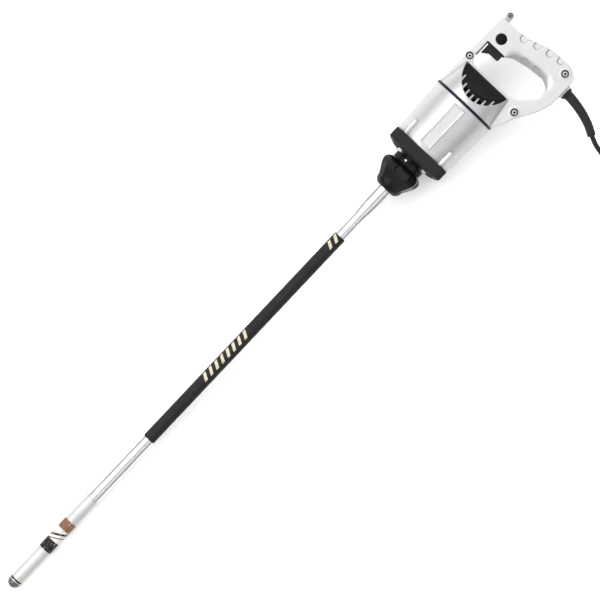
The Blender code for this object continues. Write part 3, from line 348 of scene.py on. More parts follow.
def laminated(name, colour):
    look = Look(name, colour, 0.42, 0.9)
    sheets = look.math("SINE", look.times(look.axis("X"), 2 * math.pi / 0.0010))
    look.tint(look.span(sheets, -0.2, 0.6, 0.0, 0.6), shade(colour, 0.55))
    look.bump(sheets, 0.00012, 0.6)
    rust = look.span(look.noise(0.010, detail=6.0, rough=0.7), 0.58, 0.70, 0.0, 0.5)
    return look.stain(rust, (0.20, 0.10, 0.05), 0.75)


def carbon_look():
    look = Look("carbon_brush", (0.035, 0.035, 0.036), 0.55, 0.1)
    flecks = look.noise(0.0004, detail=3.0)
    return look.tint(look.span(flecks, 0.62, 0.70, 0.0, 0.6), (0.16, 0.16, 0.17)).bump(flecks, 0.00008, 0.5)


LOOKS = {
    "cast_housing": casting("cast_housing"),
    "cast_handle": casting("cast_handle", (0.56, 0.57, 0.56), vented=True),
    "nose": nose_look(),
    "head": head_look(),
    "band": band_look(),
    "sleeve": sleeve_look(),
    "polished": steel("polished_tube", (0.74, 0.75, 0.76), 0.27, 0.0005, 0.00002, smudge=0.10),
    "satin": steel("satin_tube", (0.62, 0.63, 0.64), 0.30, 0.0006, 0.00004),
    "screw": steel("zinc_screw", (0.52, 0.52, 0.53), 0.30, 0.0003, 0.00003),
    "socket_screw": socket_screw_look(),
    "ground": steel("ground_steel", (0.36, 0.36, 0.38), 0.34, 0.0005, 0.00005),
    "shaft": steel("ground_shaft", (0.40, 0.40, 0.42), 0.30, 0.0007, 0.00004, along=True),
    "bearing": steel("bearing_steel", (0.60, 0.61, 0.63), 0.18, 0.0003, 0.00002),
    "brass": steel("turned_brass", (0.72, 0.55, 0.24), 0.28, 0.0005, 0.00004),
    "blade": steel("blade_brass", (0.80, 0.66, 0.36), 0.24, 0.0004, 0.00003, along=True),
    "black": plastic("black_moulding", (0.008, 0.008, 0.009), 0.36),
    "knob": plastic("knob_moulding", (0.004, 0.004, 0.0045), 0.24, 0.0009, 0.00014, shine=0.14),
    "switch": plastic("switch_moulding", (0.007, 0.007, 0.008), 0.34),
    "button": plastic("button_moulding", (0.003, 0.003, 0.003), 0.22, shine=0.10),
    "vent": plastic("vent_moulding", (0.007, 0.007, 0.007), 0.34),
    "pale": plastic("pale_washer", (0.70, 0.70, 0.67), 0.45, worn=(0.8, 0.8, 0.78)),
    "bumper": rubber("bumper_rubber", (0.008, 0.008, 0.0085), 0.44, 0.0008, 0.00014, dust=(0.022,) * 3),
    "guard": rubber("guard_rubber", (0.014, 0.014, 0.015), 0.55, 0.0006, 0.00022),
    "cord": rubber("cord_rubber", (0.013, 0.013, 0.014), 0.50, 0.0009, 0.00012),
    "seal": rubber("seal_rubber", (0.015, 0.015, 0.016), 0.55),
    "gasket": rubber("navy_gasket", (0.004, 0.006, 0.022), 0.40, 0.0008, 0.00010, (0.008, 0.010, 0.030)),
    "copper": copper_look(),
    "commutator": commutator_look(),
    "laminated": laminated("core_sheets", (0.30, 0.30, 0.32)),
    "carbon": carbon_look(),
}
for finished in LOOKS.values():
    finished.done()


def paint(obj, look):
    obj.data.materials.clear()
    obj.data.materials.append(LOOKS[look].material)


# Meshes -----------------------------------------------------------------------------------------


def made(name, mesh, at=TOOL):
    """An object of a mesh, curve, lamp or camera, placed in the tool's frame or in another one."""
    obj = bpy.data.objects.new(name, mesh)
    bpy.context.scene.collection.objects.link(obj)
    obj.matrix_world = at
    return obj


def mesh_of(work, name="shape"):
    mesh = bpy.data.meshes.new(name)
    bmesh.ops.recalc_face_normals(work, faces=work.faces)
    work.to_mesh(mesh)
    work.free()
    return mesh


def smooth(obj, angle=SHARP):
    obj.data.shade_smooth()
    obj.data.set_sharp_from_angle(angle=angle)
    return obj


def settle(obj):
    """Makes an object's modifiers its mesh."""
    graph = bpy.context.evaluated_depsgraph_get()
    mesh = bpy.data.meshes.new_from_object(obj.evaluated_get(graph))
    obj.modifiers.clear()
    obj.data = mesh
    return obj


def join_on(obj, *others, how="DIFFERENCE", solver="MANIFOLD"):
    """Cuts the others from an object, or joins them to it, and removes them."""
    for other in others:
        step = obj.modifiers.new(how.lower(), "BOOLEAN")
        step.operation, step.solver, step.object = how, solver, other
    settle(obj)
    for other in others:
        bpy.data.objects.remove(other)
    return obj


def remesh(obj, voxel, rounds=6, keep=1.0):
    """Rebuilds a solid from small cells, so that every edge and inner corner is softly rounded."""
    step = obj.modifiers.new("cells", "REMESH")
    step.mode, step.voxel_size, step.use_smooth_shade = "VOXEL", voxel, True
    soften = obj.modifiers.new("soften", "SMOOTH")
    soften.factor, soften.iterations = 0.5, rounds
    if keep < 1.0:
        thin = obj.modifiers.new("thin", "DECIMATE")
        thin.ratio = keep
    settle(obj)
    obj.data.shade_smooth()
    return obj


def arcs(corners, step=math.radians(12), closed=True):
    """The points of an outline whose (x, y, radius) corners are rounded by arcs."""
    points = []
    count = len(corners)
    for i, (x, y, radius) in enumerate(corners):
        here = Vector((x, y))
        if radius == 0 or (not closed and i in (0, count - 1)):
            points.append(here)
            continue
        before = (Vector(corners[i - 1][:2]) - here).normalized()
        after = (Vector(corners[(i + 1) % count][:2]) - here).normalized()
        half = before.angle(after) / 2
        middle = here + (before + after).normalized() * (radius / math.sin(half))
        start = here + before * (radius / math.tan(half)) - middle
        sweep = math.pi - 2 * half
        if before.cross(after) > 0:
            sweep = -sweep
        parts = max(1, math.ceil(abs(sweep) / step))
        points += [middle + Matrix.Rotation(sweep * k / parts, 2) @ start for k in range(parts + 1)]
    return points


def lathe(name, corners, segments=96, closed=True, at=TOOL, fine=None):
    """A solid turned about X. Corners are (x, radius, fillet); one that starts and ends on the axis is solid.

    fine moves a ring's points: it gets x, radius and angle, and gives the radius there."""
    points = arcs(corners, closed=closed)
    work = bmesh.new()
    rings = []
    for x, radius in points:
        if radius < 0.00001:
            rings.append([work.verts.new((x, 0, 0))])
            continue
        ring = []
        for k in range(segments):
            angle = 2 * math.pi * k / segments
            r = fine(x, radius, angle) if fine else radius
            ring.append(work.verts.new((x, r * math.cos(angle), r * math.sin(angle))))
        rings.append(ring)
    pairs = list(zip(rings, rings[1:], strict=False))
    if closed:
        pairs.append((rings[-1], rings[0]))
    for low, high in pairs:
        if len(low) == 1 and len(high) == 1:
            continue
        for k in range(segments):
            n = (k + 1) % segments
            if len(low) == 1:
                work.faces.new((low[0], high[k], high[n]))
            elif len(high) == 1:
                work.faces.new((low[k], low[n], high[0]))
            else:
                work.faces.new((low[k], low[n], high[n], high[k]))
    return smooth(made(name, mesh_of(work), at))


def slab(name, outlines, low, high, at=TOOL):
    """A flat plate between two heights: the first outline is its edge and the others are holes."""
    curve = bpy.data.curves.new("outline", "CURVE")
    curve.dimensions, curve.fill_mode, curve.extrude = "2D", "BOTH", (high - low) / 2
    for points in outlines:
        spline = curve.splines.new("POLY")
        spline.points.add(len(points) - 1)
        for point, (x, y) in zip(spline.points, points, strict=True):
            point.co = (x, y, 0, 1)
        spline.use_cyclic_u = True
    return from_curve(name, curve, (low + high) / 2, at)


def from_curve(name, curve, lift=0.0, at=TOOL):
    holder = made("holder", curve, FLOOR_FRAME)
    graph = bpy.context.evaluated_depsgraph_get()
    mesh = bpy.data.meshes.new_from_object(holder.evaluated_get(graph))
    bpy.data.objects.remove(holder)
    work = bmesh.new()
    work.from_mesh(mesh)
    bmesh.ops.remove_doubles(work, verts=work.verts, dist=0.00001)
    bmesh.ops.translate(work, verts=work.verts, vec=(0, 0, lift))
    return smooth(made(name, mesh_of(work), at))


def block(name, low, high, at=TOOL):
    work = bmesh.new()
    bmesh.ops.create_cube(work, size=1)
    low, high = Vector(low), Vector(high)
    spread = Matrix.Translation((low + high) / 2) @ Matrix.Diagonal((*(high - low), 1))
    bmesh.ops.transform(work, matrix=spread, verts=work.verts)
    return made(name, mesh_of(work), at)


def peg(name, start, end, radius, end_radius=None, segments=48, at=TOOL):
    """A cylinder or a cone between two points."""
    start, end = Vector(start), Vector(end)
    work = bmesh.new()
    bmesh.ops.create_cone(
        work,
        cap_ends=True,
        segments=segments,
        radius1=radius,
        radius2=radius if end_radius is None else end_radius,
        depth=(end - start).length,
    )
    way = (end - start).to_track_quat("Z", "Y").to_matrix().to_4x4()
    bmesh.ops.transform(work, matrix=Matrix.Translation((start + end) / 2) @ way, verts=work.verts)
    return smooth(made(name, mesh_of(work), at))


def curve_through(route, spacing):
    """Points about a spacing apart on the Catmull-Rom curve through a route."""
    route = [Vector(p) for p in route]
    ends = [2 * route[0] - route[1], *route, 2 * route[-1] - route[-2]]
    found = []
    for i in range(1, len(route)):
        a, b, c, d = ends[i - 1 : i + 3]
        parts = max(1, round((c - b).length / spacing))
        for k in range(parts):
            t = k / parts
            point = 0.5 * (2 * b + (c - a) * t + (2 * a - 5 * b + 4 * c - d) * t**2)
            found.append(point + 0.5 * (3 * b - a - 3 * c + d) * t**3)
    return [*found, route[-1]]


def pipe(name, points, radius, shares=None, at=TOOL, resolution=8, keep_curve=False):
    """A round tube along points; shares are its radii as shares of the radius."""
    curve = bpy.data.curves.new(name, "CURVE")
    curve.dimensions, curve.bevel_depth, curve.bevel_resolution = "3D", radius, resolution
    curve.use_fill_caps = True
    spline = curve.splines.new("POLY")
    spline.points.add(len(points) - 1)
    for i, (place, point) in enumerate(zip(spline.points, points, strict=True)):
        place.co = (*point, 1)
        place.radius = shares[i] if shares else 1.0
    if keep_curve:
        spline.use_smooth = True
        return made(name, curve, at)
    return from_curve(name, curve, 0.0, at)


def bevelled(obj, width, segments=3, angle=math.radians(30)):
    step = obj.modifiers.new("edge", "BEVEL")
    step.width, step.segments, step.limit_method, step.angle_limit = width, segments, "ANGLE", angle
    step.harden_normals = False
    settle(obj)
    return smooth(obj)


def dress(obj, name, look, body, slot, *nodes):
    """Names a finished piece, paints it, and puts it on its body in place of its CAD nodes."""
    obj.data.transform(obj.matrix_world)
    obj.matrix_world = FLOOR_FRAME
    obj.name = name
    obj.data.name = name
    paint(obj, look)
    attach(obj, body)
    if nodes:
        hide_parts(*nodes)
    return obj


def dress_screw(screw, name, node, look="screw"):
    return dress(smooth(screw), name, look, "motor_unit", "screw_steel", node)


def ramp(value, low, high):
    """0 below low, 1 above high, smooth between."""
    t = min(1.0, max(0.0, (value - low) / (high - low)))
    return t * t * (3 - 2 * t)


# The lance ---------------------------------------------------------------------------------------


def groove(x, radius, depth):
    """The corners of a narrow turned groove with its middle at x."""
    lip, foot = (radius, 0.0002), (radius - depth, 0.0001)
    return [(x - 0.0008, *lip), (x - 0.0004, *foot), (x + 0.0004, *foot), (x + 0.0008, *lip)]


def lance_pieces():
    """The nose, the head with its printed band, the couplings and the rubber sleeve."""
    dome = [(0.0, 0.0, 0)]
    count, end, radius, length = 16, 0.0118, 0.0112, 0.0128
    for i in range(1, count + 1):
        x = end * (1 - math.cos(math.pi / 2 * i / count))
        dome.append((x, radius * math.sqrt(max(0.0, 1 - ((length - x) / length) ** 2)), 0))
    ring = [(0.01195, 0.0106, 0), (0.0122, 0.0111, 0.0002), (0.0134, 0.0112, 0.0002)]
    ring += [(0.0136, 0.0099, 0.0001)]
    back = [(0.0147, 0.0099, 0.0001), (0.0149, 0.0112, 0.0002), (0.0158, 0.0112, 0.0002)]
    spigot = [(0.0158, 0.0092, 0), (0.0245, 0.0092, 0.0004), (0.0245, 0.0, 0)]
    nose = lathe("nose", [*dome, *ring, *back, *spigot], closed=False)
    dress(nose, "head_nose_cap", "nose", "lance", "dark_steel", "head_nose")

    start, stop, band_start, band_stop = 0.0163, 0.1941, 0.0820, 0.1440
    outer = [(start, 0.0115, 0.0004), (band_start, 0.0115, 0.0001), (band_start, 0.0109, 0)]
    outer += [(band_stop, 0.0109, 0), (band_stop, 0.0115, 0.0001), (stop, 0.0115, 0.0004)]
    tube = lathe("tube", [*outer, (stop, 0.0095, 0), (start, 0.0095, 0)], 112)
    dress(tube, "head_outer_tube", "head", "lance", "satin_steel", "head_tube")
    corners = [(band_start + GAP, 0.0112, 0), (band_start + GAP, 0.01158, 0.00012)]
    corners += [(band_stop - GAP, 0.01158, 0.00012), (band_stop - GAP, 0.0112, 0)]
    band = lathe("band", corners, 112)
    dress(band, "head_printed_band", "band", "lance", "painted_band", "head_band")

    lower = [(0.1765, 0.0092, 0.0004), (0.1944, 0.0092, 0), (0.1944, 0.0108, 0.0003)]
    lower += [(0.1955, 0.0111, 0.0003), (0.2000, 0.01105, 0.001)]
    for x in (0.2160, 0.2915, 0.3020, 0.3160):
        lower += groove(x, 0.01105 - 0.0001 * (x - 0.2) / 0.1, 0.0001 if x < 0.22 else 0.0005)
    lower += [(0.3235, 0.0109, 0.0006), (0.3248, 0.0103, 0.0006), (0.3261, 0.0103, 0.0002)]
    lower += [(0.3261, 0.0083, 0), (0.3000, 0.0083, 0), (0.3000, 0.0050, 0), (0.1765, 0.0050, 0)]
    coupling = lathe("coupling", lower, 112)
    dress(coupling, "lower_coupling", "polished", "lance", "polished_steel", "head_coupling")

    first, last, thick = 0.3264, 0.7732, 0.0106
    corners = [(first, 0.0083, 0), (first, thick - 0.0002, 0.0006), (first + 0.004, thick, 0.001)]
    steps = 60
    for i in range(1, steps):
        x = first + 0.004 + (last - first - 0.008) * i / steps
        corners.append((x, thick - 0.00010 + 0.00010 * math.sin(i * 2.4), 0))
    corners += [(last - 0.004, thick, 0.001), (last, thick - 0.0002, 0.0006), (last, 0.0083, 0)]
    sleeve = lathe("sleeve", corners, 96)
    dress(sleeve, "lance_rubber_sleeve", "sleeve", "lance", "black_rubber", "grip_sleeve")

    upper = [(0.7735, 0.0083, 0), (0.7735, 0.0101, 0.0003), (0.7750, 0.0104, 0.0004)]
    upper += groove(0.7880, 0.0104, 0.0006) + groove(0.8062, 0.0104, 0.0006)
    upper += [(0.8160, 0.0104, 0.012), (0.8385, 0.0133, 0.004), (0.8396, 0.0129, 0.0002)]
    upper += [(0.8406, 0.0129, 0.0002), (0.8412, 0.0136, 0.0003), (0.8846, 0.0139, 0.0006)]
    upper += [(0.8846, 0.0214, 0.0005), (0.8944, 0.0214, 0.0005), (0.8944, 0.0110, 0.0003)]
    upper += [(0.9118, 0.0110, 0.0006)]
    upper += [(0.9118, 0.0050, 0), (0.8000, 0.0050, 0), (0.8000, 0.0083, 0)]
    adapter = lathe("adapter", upper, 112)
    dress(adapter, "upper_lance_adapter", "polished", "lance", "polished_steel", "upper_adapter")


def loft(name, section, stations, at=TOOL):
    """A solid whose (y, z) section is scaled at each (x, scale) station."""
    work = bmesh.new()
    rings = [[work.verts.new((x, y * s, z * s)) for y, z in section] for x, s in stations]
    count = len(section)
    for low, high in zip(rings, rings[1:], strict=False):
        for k in range(count):
            n = (k + 1) % count
            work.faces.new((low[k], low[n], high[n], high[k]))
    work.faces.new(rings[0])
    work.faces.new(rings[-1])
    return made(name, mesh_of(work), at)


def knob_piece():
    """The union nut: a square with broad chamfered corners and a pocket in each broad face."""
    angles = [math.radians(90 * q + a) for q in range(4) for a in (-66.1, -40.1)]
    section = [(0.0400 * math.cos(a), 0.0400 * math.sin(a)) for a in angles]
    stations = [(0.8775, 14.6), (0.8790, 17.2), (0.8812, 20.4), (0.8850, 23.6), (0.9060, 36.8)]
    stations += [(0.9110, 39.2), (0.9144, 39.9), (0.9180, 39.5), (0.9210, 37.6), (0.9235, 33.8)]
    stations += [(0.9250, 30.8), (0.9260, 29.8)]
    knob = loft("knob", section, [(x, r / 40) for x, r in stations])
    front = [(0.8775, 0.0, 0), (0.8775, 0.0170, 0.0012), (0.8800, 0.0202, 0.002), (0.8830, 0.0228, 0.003)]
    front += [(0.8860, 0.0241, 0.003), (0.8920, 0.0248, 0), (0.8960, 0.0248, 0), (0.8960, 0.0, 0)]
    join_on(knob, lathe("front", front, 144, closed=False), how="UNION")
    hollow = [(0.8765, 0.0, 0), (0.8765, 0.0150, 0), (0.8785, 0.0143, 0), (0.8843, 0.0143, 0)]
    hollow += [(0.8843, 0.0220, 0), (0.8950, 0.0220, 0), (0.8950, 0.0240, 0)]
    hollow += [(0.9270, 0.0240, 0), (0.9270, 0.0, 0)]
    cutters = [lathe("hollow", hollow, 96, closed=False)]
    for quarter in range(4):
        angle = math.radians(90 * quarter - 8.1)
        out = Vector((0, math.cos(angle), math.sin(angle)))
        middle = Vector((0.9140, 0, 0))
        cutters.append(peg("pocket", middle + out * 0.0305, middle + out * 0.0420, 0.0062, 0.0078))
    join_on(knob, *cutters)
    remesh(knob, 0.00054, 5)
    dress(knob, "union_knob", "knob", "knob", "black_plastic", "coupling_knob")


# The motor unit ----------------------------------------------------------------------------------


def neck_pieces():
    """The neck casting with its ribbed collar, its set screw, the square bumper and its screws."""
    corners = []
    for i in range(4):
        x = 0.8950 + 0.0075 * i
        corners += [(x, 0.0229, 0.0002), (x + 0.0010, 0.0237, 0.0003)]
        corners += [(x + 0.0052, 0.0237, 0.0003), (x + 0.0060, 0.0229, 0.0002)]
    corners += [(0.9262, 0.0229, 0), (0.9263, 0.0262, 0.0003), (0.9270, 0.0270, 0.0004)]
    corners += [(0.9362, 0.0270, 0.0004), (0.9369, 0.0262, 0.0003), (0.9370, 0.0226, 0), (0.9515, 0.0226, 0)]
    corners += [(0.9515, 0.0450, 0), (0.9640, 0.0450, 0), (0.9640, 0.0133, 0), (0.9457, 0.0133, 0)]
    corners += [(0.9457, 0.0113, 0), (0.8950, 0.0113, 0)]

    def ribs(x, radius, angle):
        if not 0.9268 < x < 0.9364:
            return radius
        return radius - 0.0009 * max(0.0, math.cos(angle * 30)) ** 2

    neck = lathe("neck", corners, 240, fine=ribs)
    angle = math.radians(90 - 14.5)
    out = Vector((0, math.cos(angle), math.sin(angle)))
    at = Vector((0.9335, 0, 0))
    join_on(neck, peg("hole", at + out * 0.0195, at + out * 0.0300, 0.0026))
    smooth(neck, math.radians(25))
    dress(neck, "neck_casting", "knob", "motor_unit", "black_plastic", "neck")
    shank = [(0.0, 0.0, 0), (0.0, 0.0021, 0.0002), (0.0072, 0.0021, 0.0005), (0.0072, 0.0, 0)]
    screw = lathe("set", shank, 48, closed=False)
    way = out.to_track_quat("X", "Y").to_matrix().to_4x4()
    screw.data.transform(Matrix.Translation(at + out * 0.0203) @ way)
    socket = peg("socket", at + out * 0.0255, at + out * 0.0285, 0.0011, segments=6)
    join_on(screw, socket)
    dress_screw(screw, "neck_grub_screw", "neck_set_screw")

    flat, edge = 0.0534, 0.0454
    section = [(flat, -edge), (flat, edge), (edge, flat), (-edge, flat)]
    section += [(-flat, edge), (-flat, -edge), (-edge, -flat), (edge, -flat)]
    stations = [(0.9376, 31.5), (0.9400, 40.5), (0.9425, 47.5), (0.9440, 50.8), (0.9452, 52.5)]
    stations += [(0.9466, 53.35), (0.9500, 53.4), (0.9625, 53.4), (0.9636, 53.0), (0.9641, 52.6)]
    bumper = loft("bumper", section, [(x, r / 53.4) for x, r in stations])
    hollow = [(0.9370, 0.0, 0), (0.9370, 0.0315, 0), (0.9412, 0.0231, 0), (0.9512, 0.0231, 0)]
    hollow += [(0.9512, 0.0455, 0), (0.9651, 0.0455, 0), (0.9651, 0.0, 0)]
    cutters = [lathe("hollow", hollow, 96, closed=False)]
    spots = [(sy * 0.0380, sz * 0.0380) for sy, sz in ((1, 1), (-1, 1), (-1, -1), (1, -1))]
    for y, z in spots:
        cutters.append(peg("seat", (0.930, y, z), (0.9500, y, z), 0.0048))
        cutters.append(peg("hole", (0.949, y, z), (0.966, y, z), 0.0026))
    reach, recess = 0.0300, 0.9416
    cutters.append(block("recess", (0.93, -reach, -0.06), (recess, reach, 0.06)))
    cutters.append(block("recess", (0.93, -0.06, -reach), (recess, 0.06, reach)))
    join_on(bumper, *cutters)
    remesh(bumper, 0.00075, 5)
    dress(bumper, "square_bumper", "bumper", "motor_unit", "black_rubber", "front_bumper")
    for number, (y, z) in enumerate(spots, start=1):
        head = [(0.9460, 0.0, 0), (0.9460, 0.0036, 0.0004), (0.9466, 0.0042, 0.0003), (0.9497, 0.0042, 0)]
        head += [(0.9497, 0.0021, 0), (0.9800, 0.0021, 0.0004), (0.9800, 0.0, 0)]
        screw = lathe("screw", head, 48, closed=False)
        join_on(screw, peg("drive", (0.9450, 0, 0), (0.9482, 0, 0), 0.0018, segments=6))
        screw.data.transform(Matrix.Translation((0, y, z)))
        dress_screw(screw, f"bumper_socket_screw_{number}", f"bumper_screw_{number}")


def housing_piece():
    """The cast motor housing: a tapered drum with four screw bosses, a raised blank panel and a rear lip."""
    start, stop, front_r, back_r, bore = 0.9645, 1.0592, 0.0532, 0.0568, 0.0485
    boss_at, boss_angles = 0.0537, [math.radians(a) for a in (45, 135, 225, 315)]
    panel_low, panel_high, panel_half, panel_y = 0.9715, 1.0520, 0.0102, 0.0014

    def surface(x, radius, angle):
        if radius < bore + 0.001:
            return radius
        share = (x - start) / (stop - start)
        base = front_r + (back_r - front_r) * share
        lip = 0.0003 * ramp(x, 1.0530, 1.0540)
        base += lip - (0.0006 if x > stop - 0.0006 else 0.0) - (0.0008 if x < start + 0.0006 else 0.0)
        highest = base
        for centre in boss_angles:
            turn = (angle - centre + math.pi) % (2 * math.pi) - math.pi
            if abs(turn) > 0.3 or x > 0.9945:
                continue
            size = 0.0066 - 0.0012 * (x - start) / 0.03
            nose = max(0.0, 1 - (max(0.0, x - 0.9885) / 0.0058) ** 2)
            size *= math.sqrt(nose)
            off = boss_at * math.sin(turn)
            if abs(off) < size:
                top = boss_at * math.cos(turn) + math.sqrt(size * size - off * off)
                highest = max(highest, min(top, base + 0.0062))
        base = highest
        y, z = base * math.cos(angle), base * math.sin(angle)
        if z > 0:
            across = 1 - ramp(abs(y - panel_y), panel_half - 0.0005, panel_half)
            along = ramp(x, panel_low - 0.0003, panel_low) * (1 - ramp(x, panel_high, panel_high + 0.0003))
            inner = (1 - ramp(abs(y - panel_y), panel_half - 0.0022, panel_half - 0.0016)) * ramp(
                x, panel_low + 0.0014, panel_low + 0.0020
            ) * (1 - ramp(x, panel_high - 0.0020, panel_high - 0.0014))
            flat = front_r + (back_r - front_r) * share + 0.0006
            raised = flat / max(0.5, math.sin(angle)) - base
            base += across * along * raised - across * along * inner * 0.0005
            dash = (1 - ramp(abs(x - 0.9688), 0.0004, 0.0007)) * (1 - ramp(abs(y), 0.0052, 0.0060))
            base -= 0.0006 * dash
        for seam in (0.0, math.pi):
            turn = (angle - seam + math.pi) % (2 * math.pi) - math.pi
            base += 0.00022 * (1 - ramp(abs(turn) * base, 0.0003, 0.0008)) * (1 if x < 1.052 else 0)
        return base

    steps, turns = 170, 560
    drum = [(start + (stop - start) * i / steps, front_r, 0) for i in range(steps + 1)]
    housing = lathe("housing", [*drum, (stop, bore, 0), (start, bore, 0)], turns, fine=surface)
    smooth(housing, math.radians(50))
    dress(housing, "cast_motor_housing", "cast_housing", "motor_unit", "cast_aluminium", "motor_housing")

    bow = [(1.0596, 0.0500, 0), (1.0596, 0.0568, 0.0004), (1.0604, 0.0574, 0.0006), (1.0625, 0.0574, 0.0006)]
    bow += [(1.0633, 0.0568, 0.0004), (1.0633, 0.0500, 0)]
    dress(lathe("gasket", bow, 160), "navy_gasket_ring", "gasket", "motor_unit", "navy_gasket", "gasket_ring")


# The handle --------------------------------------------------------------------------------------

HANDLE_OUTLINE = [
    (1.0640, -0.0572, 0),
    (1.0640, 0.0560, 0),
    (1.2050, 0.0517, 0.008),
    (1.2050, 0.0200, 0.030),
    (1.2085, -0.0020, 0.060),
    (1.2214, -0.0450, 0.060),
    (1.2214, -0.0860, 0.030),
    (1.2090, -0.1008, 0.014),
    (1.1560, -0.1008, 0.040),
    (1.1360, -0.0945, 0.060),
    (1.0980, -0.0725, 0.060),
]
HORN_OUTLINE = [(1.1950, 0.0372, 0), (1.2208, 0.0372, 0.0063), (1.2208, 0.0500, 0.0063), (1.1950, 0.0500, 0)]
GRIP_OPENING = [
    (1.1184, -0.0500, 0.020),
    (1.1184, 0.0330, 0.006),
    (1.1270, 0.0424, 0.004),
    (1.1612, 0.0424, 0.002),
    (1.1612, 0.0050, 0.006),
    (1.1690, -0.0080, 0.020),
    (1.1745, -0.0360, 0.050),
    (1.1765, -0.0640, 0.020),
    (1.1690, -0.0785, 0.010),
    (1.1520, -0.0812, 0.014),
    (1.1380, -0.0710, 0.030),
]
HANDLE_SCREWS = [
    (1.1244, 0.0472, 0.0086, 0.0064, 0.0042),
    (1.2144, 0.0436, 0.0064, 0.0046, 0.0034),
    (1.1072, -0.0664, 0.0086, 0.0064, 0.0042),
    (1.2068, -0.0832, 0.0086, 0.0064, 0.0042),
]
HANDLE_HALF = 0.0190
HANDLE_ROUND = 0.0048
HANDLE_WALL = 0.004
SLOPE = math.radians(39.4)
SLOPE_FOOT = Vector((1.1156, 0.0, 0.0195))
VENT_LENGTH, VENT_HALF = 0.0548, 0.0438
FIN_PITCH, FIN_COUNT = 0.0102, 7
BUTTON_AT = Vector((1.1776, 0.0284))
BUTTON_R = 0.0085


def offset(corners, distance):
    """Rounded corners moved outwards by a distance, or inwards by a negative one."""
    moved = []
    area = sum(a[0] * b[1] - b[0] * a[1] for a, b in zip(corners, corners[1:] + corners[:1], strict=True))
    way = 1 if area > 0 else -1
    for i, (x, y, radius) in enumerate(corners):
        here = Vector((x, y))
        arriving = (here - Vector(corners[i - 1][:2])).normalized()
        leaving = (Vector(corners[(i + 1) % len(corners)][:2]) - here).normalized()
        normal = Vector((arriving.y + leaving.y, -arriving.x - leaving.x)).normalized()
        share = normal.dot(Vector((leaving.y, -leaving.x)))
        place = here + normal * (way * distance / share)
        grown = radius + distance if way * arriving.cross(leaving) > 0 else radius - distance
        moved.append((*place, max(0.001, grown) if radius else 0))
    return moved


def on_slope(obj, depth=0.0):
    """Moves an object made on the level to the near sloped vent face: X up the slope, Z out of it."""
    up = Vector((-math.cos(SLOPE), 0, math.sin(SLOPE)))
    out = Vector((math.sin(SLOPE), 0, math.cos(SLOPE)))
    place = Matrix((up, out.cross(up), out)).transposed().to_4x4()
    place.translation = SLOPE_FOOT + out * depth
    obj.data.transform(place)
    return obj


def moon_reach(share):
    """How far the half moon reaches at a share of its half width, as a share of its length."""
    return (math.sqrt(1.0621 - share**2) - 0.2492) / 0.7814


def half_moon(length, half_width, start=0.0, count=48):
    """The shape in which a sloped plane cuts the bulge, with its straight side at start."""
    points = []
    for i in range(count + 1):
        side = math.sin(math.pi * (i / count - 0.5))
        points.append(Vector((start + (length - start) * moon_reach(side), half_width * side)))
    return points


def rectangle(low_x, high_x, low_y, high_y):
    return [Vector(p) for p in ((low_x, low_y), (high_x, low_y), (high_x, high_y), (low_x, high_y))]


def bulge(grow, start, end, depth):
    """The rear bulge: a cone cut by the sloped vent face, grown or shrunk all round."""
    profile = [(start, 0.0, 0), (start, 0.0565 + grow, 0), (end, 0.0490 + grow, 0), (end, 0.0, 0)]
    cone = lathe("bulge", profile, 144, closed=False)
    keep = block("slope", (-0.03, -0.08, 0.0), (0.10, 0.08, 0.08))
    return join_on(cone, on_slope(keep, depth))


def notch_outline(x, y, length, width, lean):
    """A finger notch: a rectangle with a round inner end, open towards the outer edge of the grip."""
    half = width / 2
    corners = [(-length, -half, half * 0.8), (0.006, -half, 0), (0.006, half, 0), (-length, half, half * 0.8)]
    turn = Matrix.Rotation(lean, 2)
    return [turn @ p + Vector((x, y)) for p in arcs(corners)]


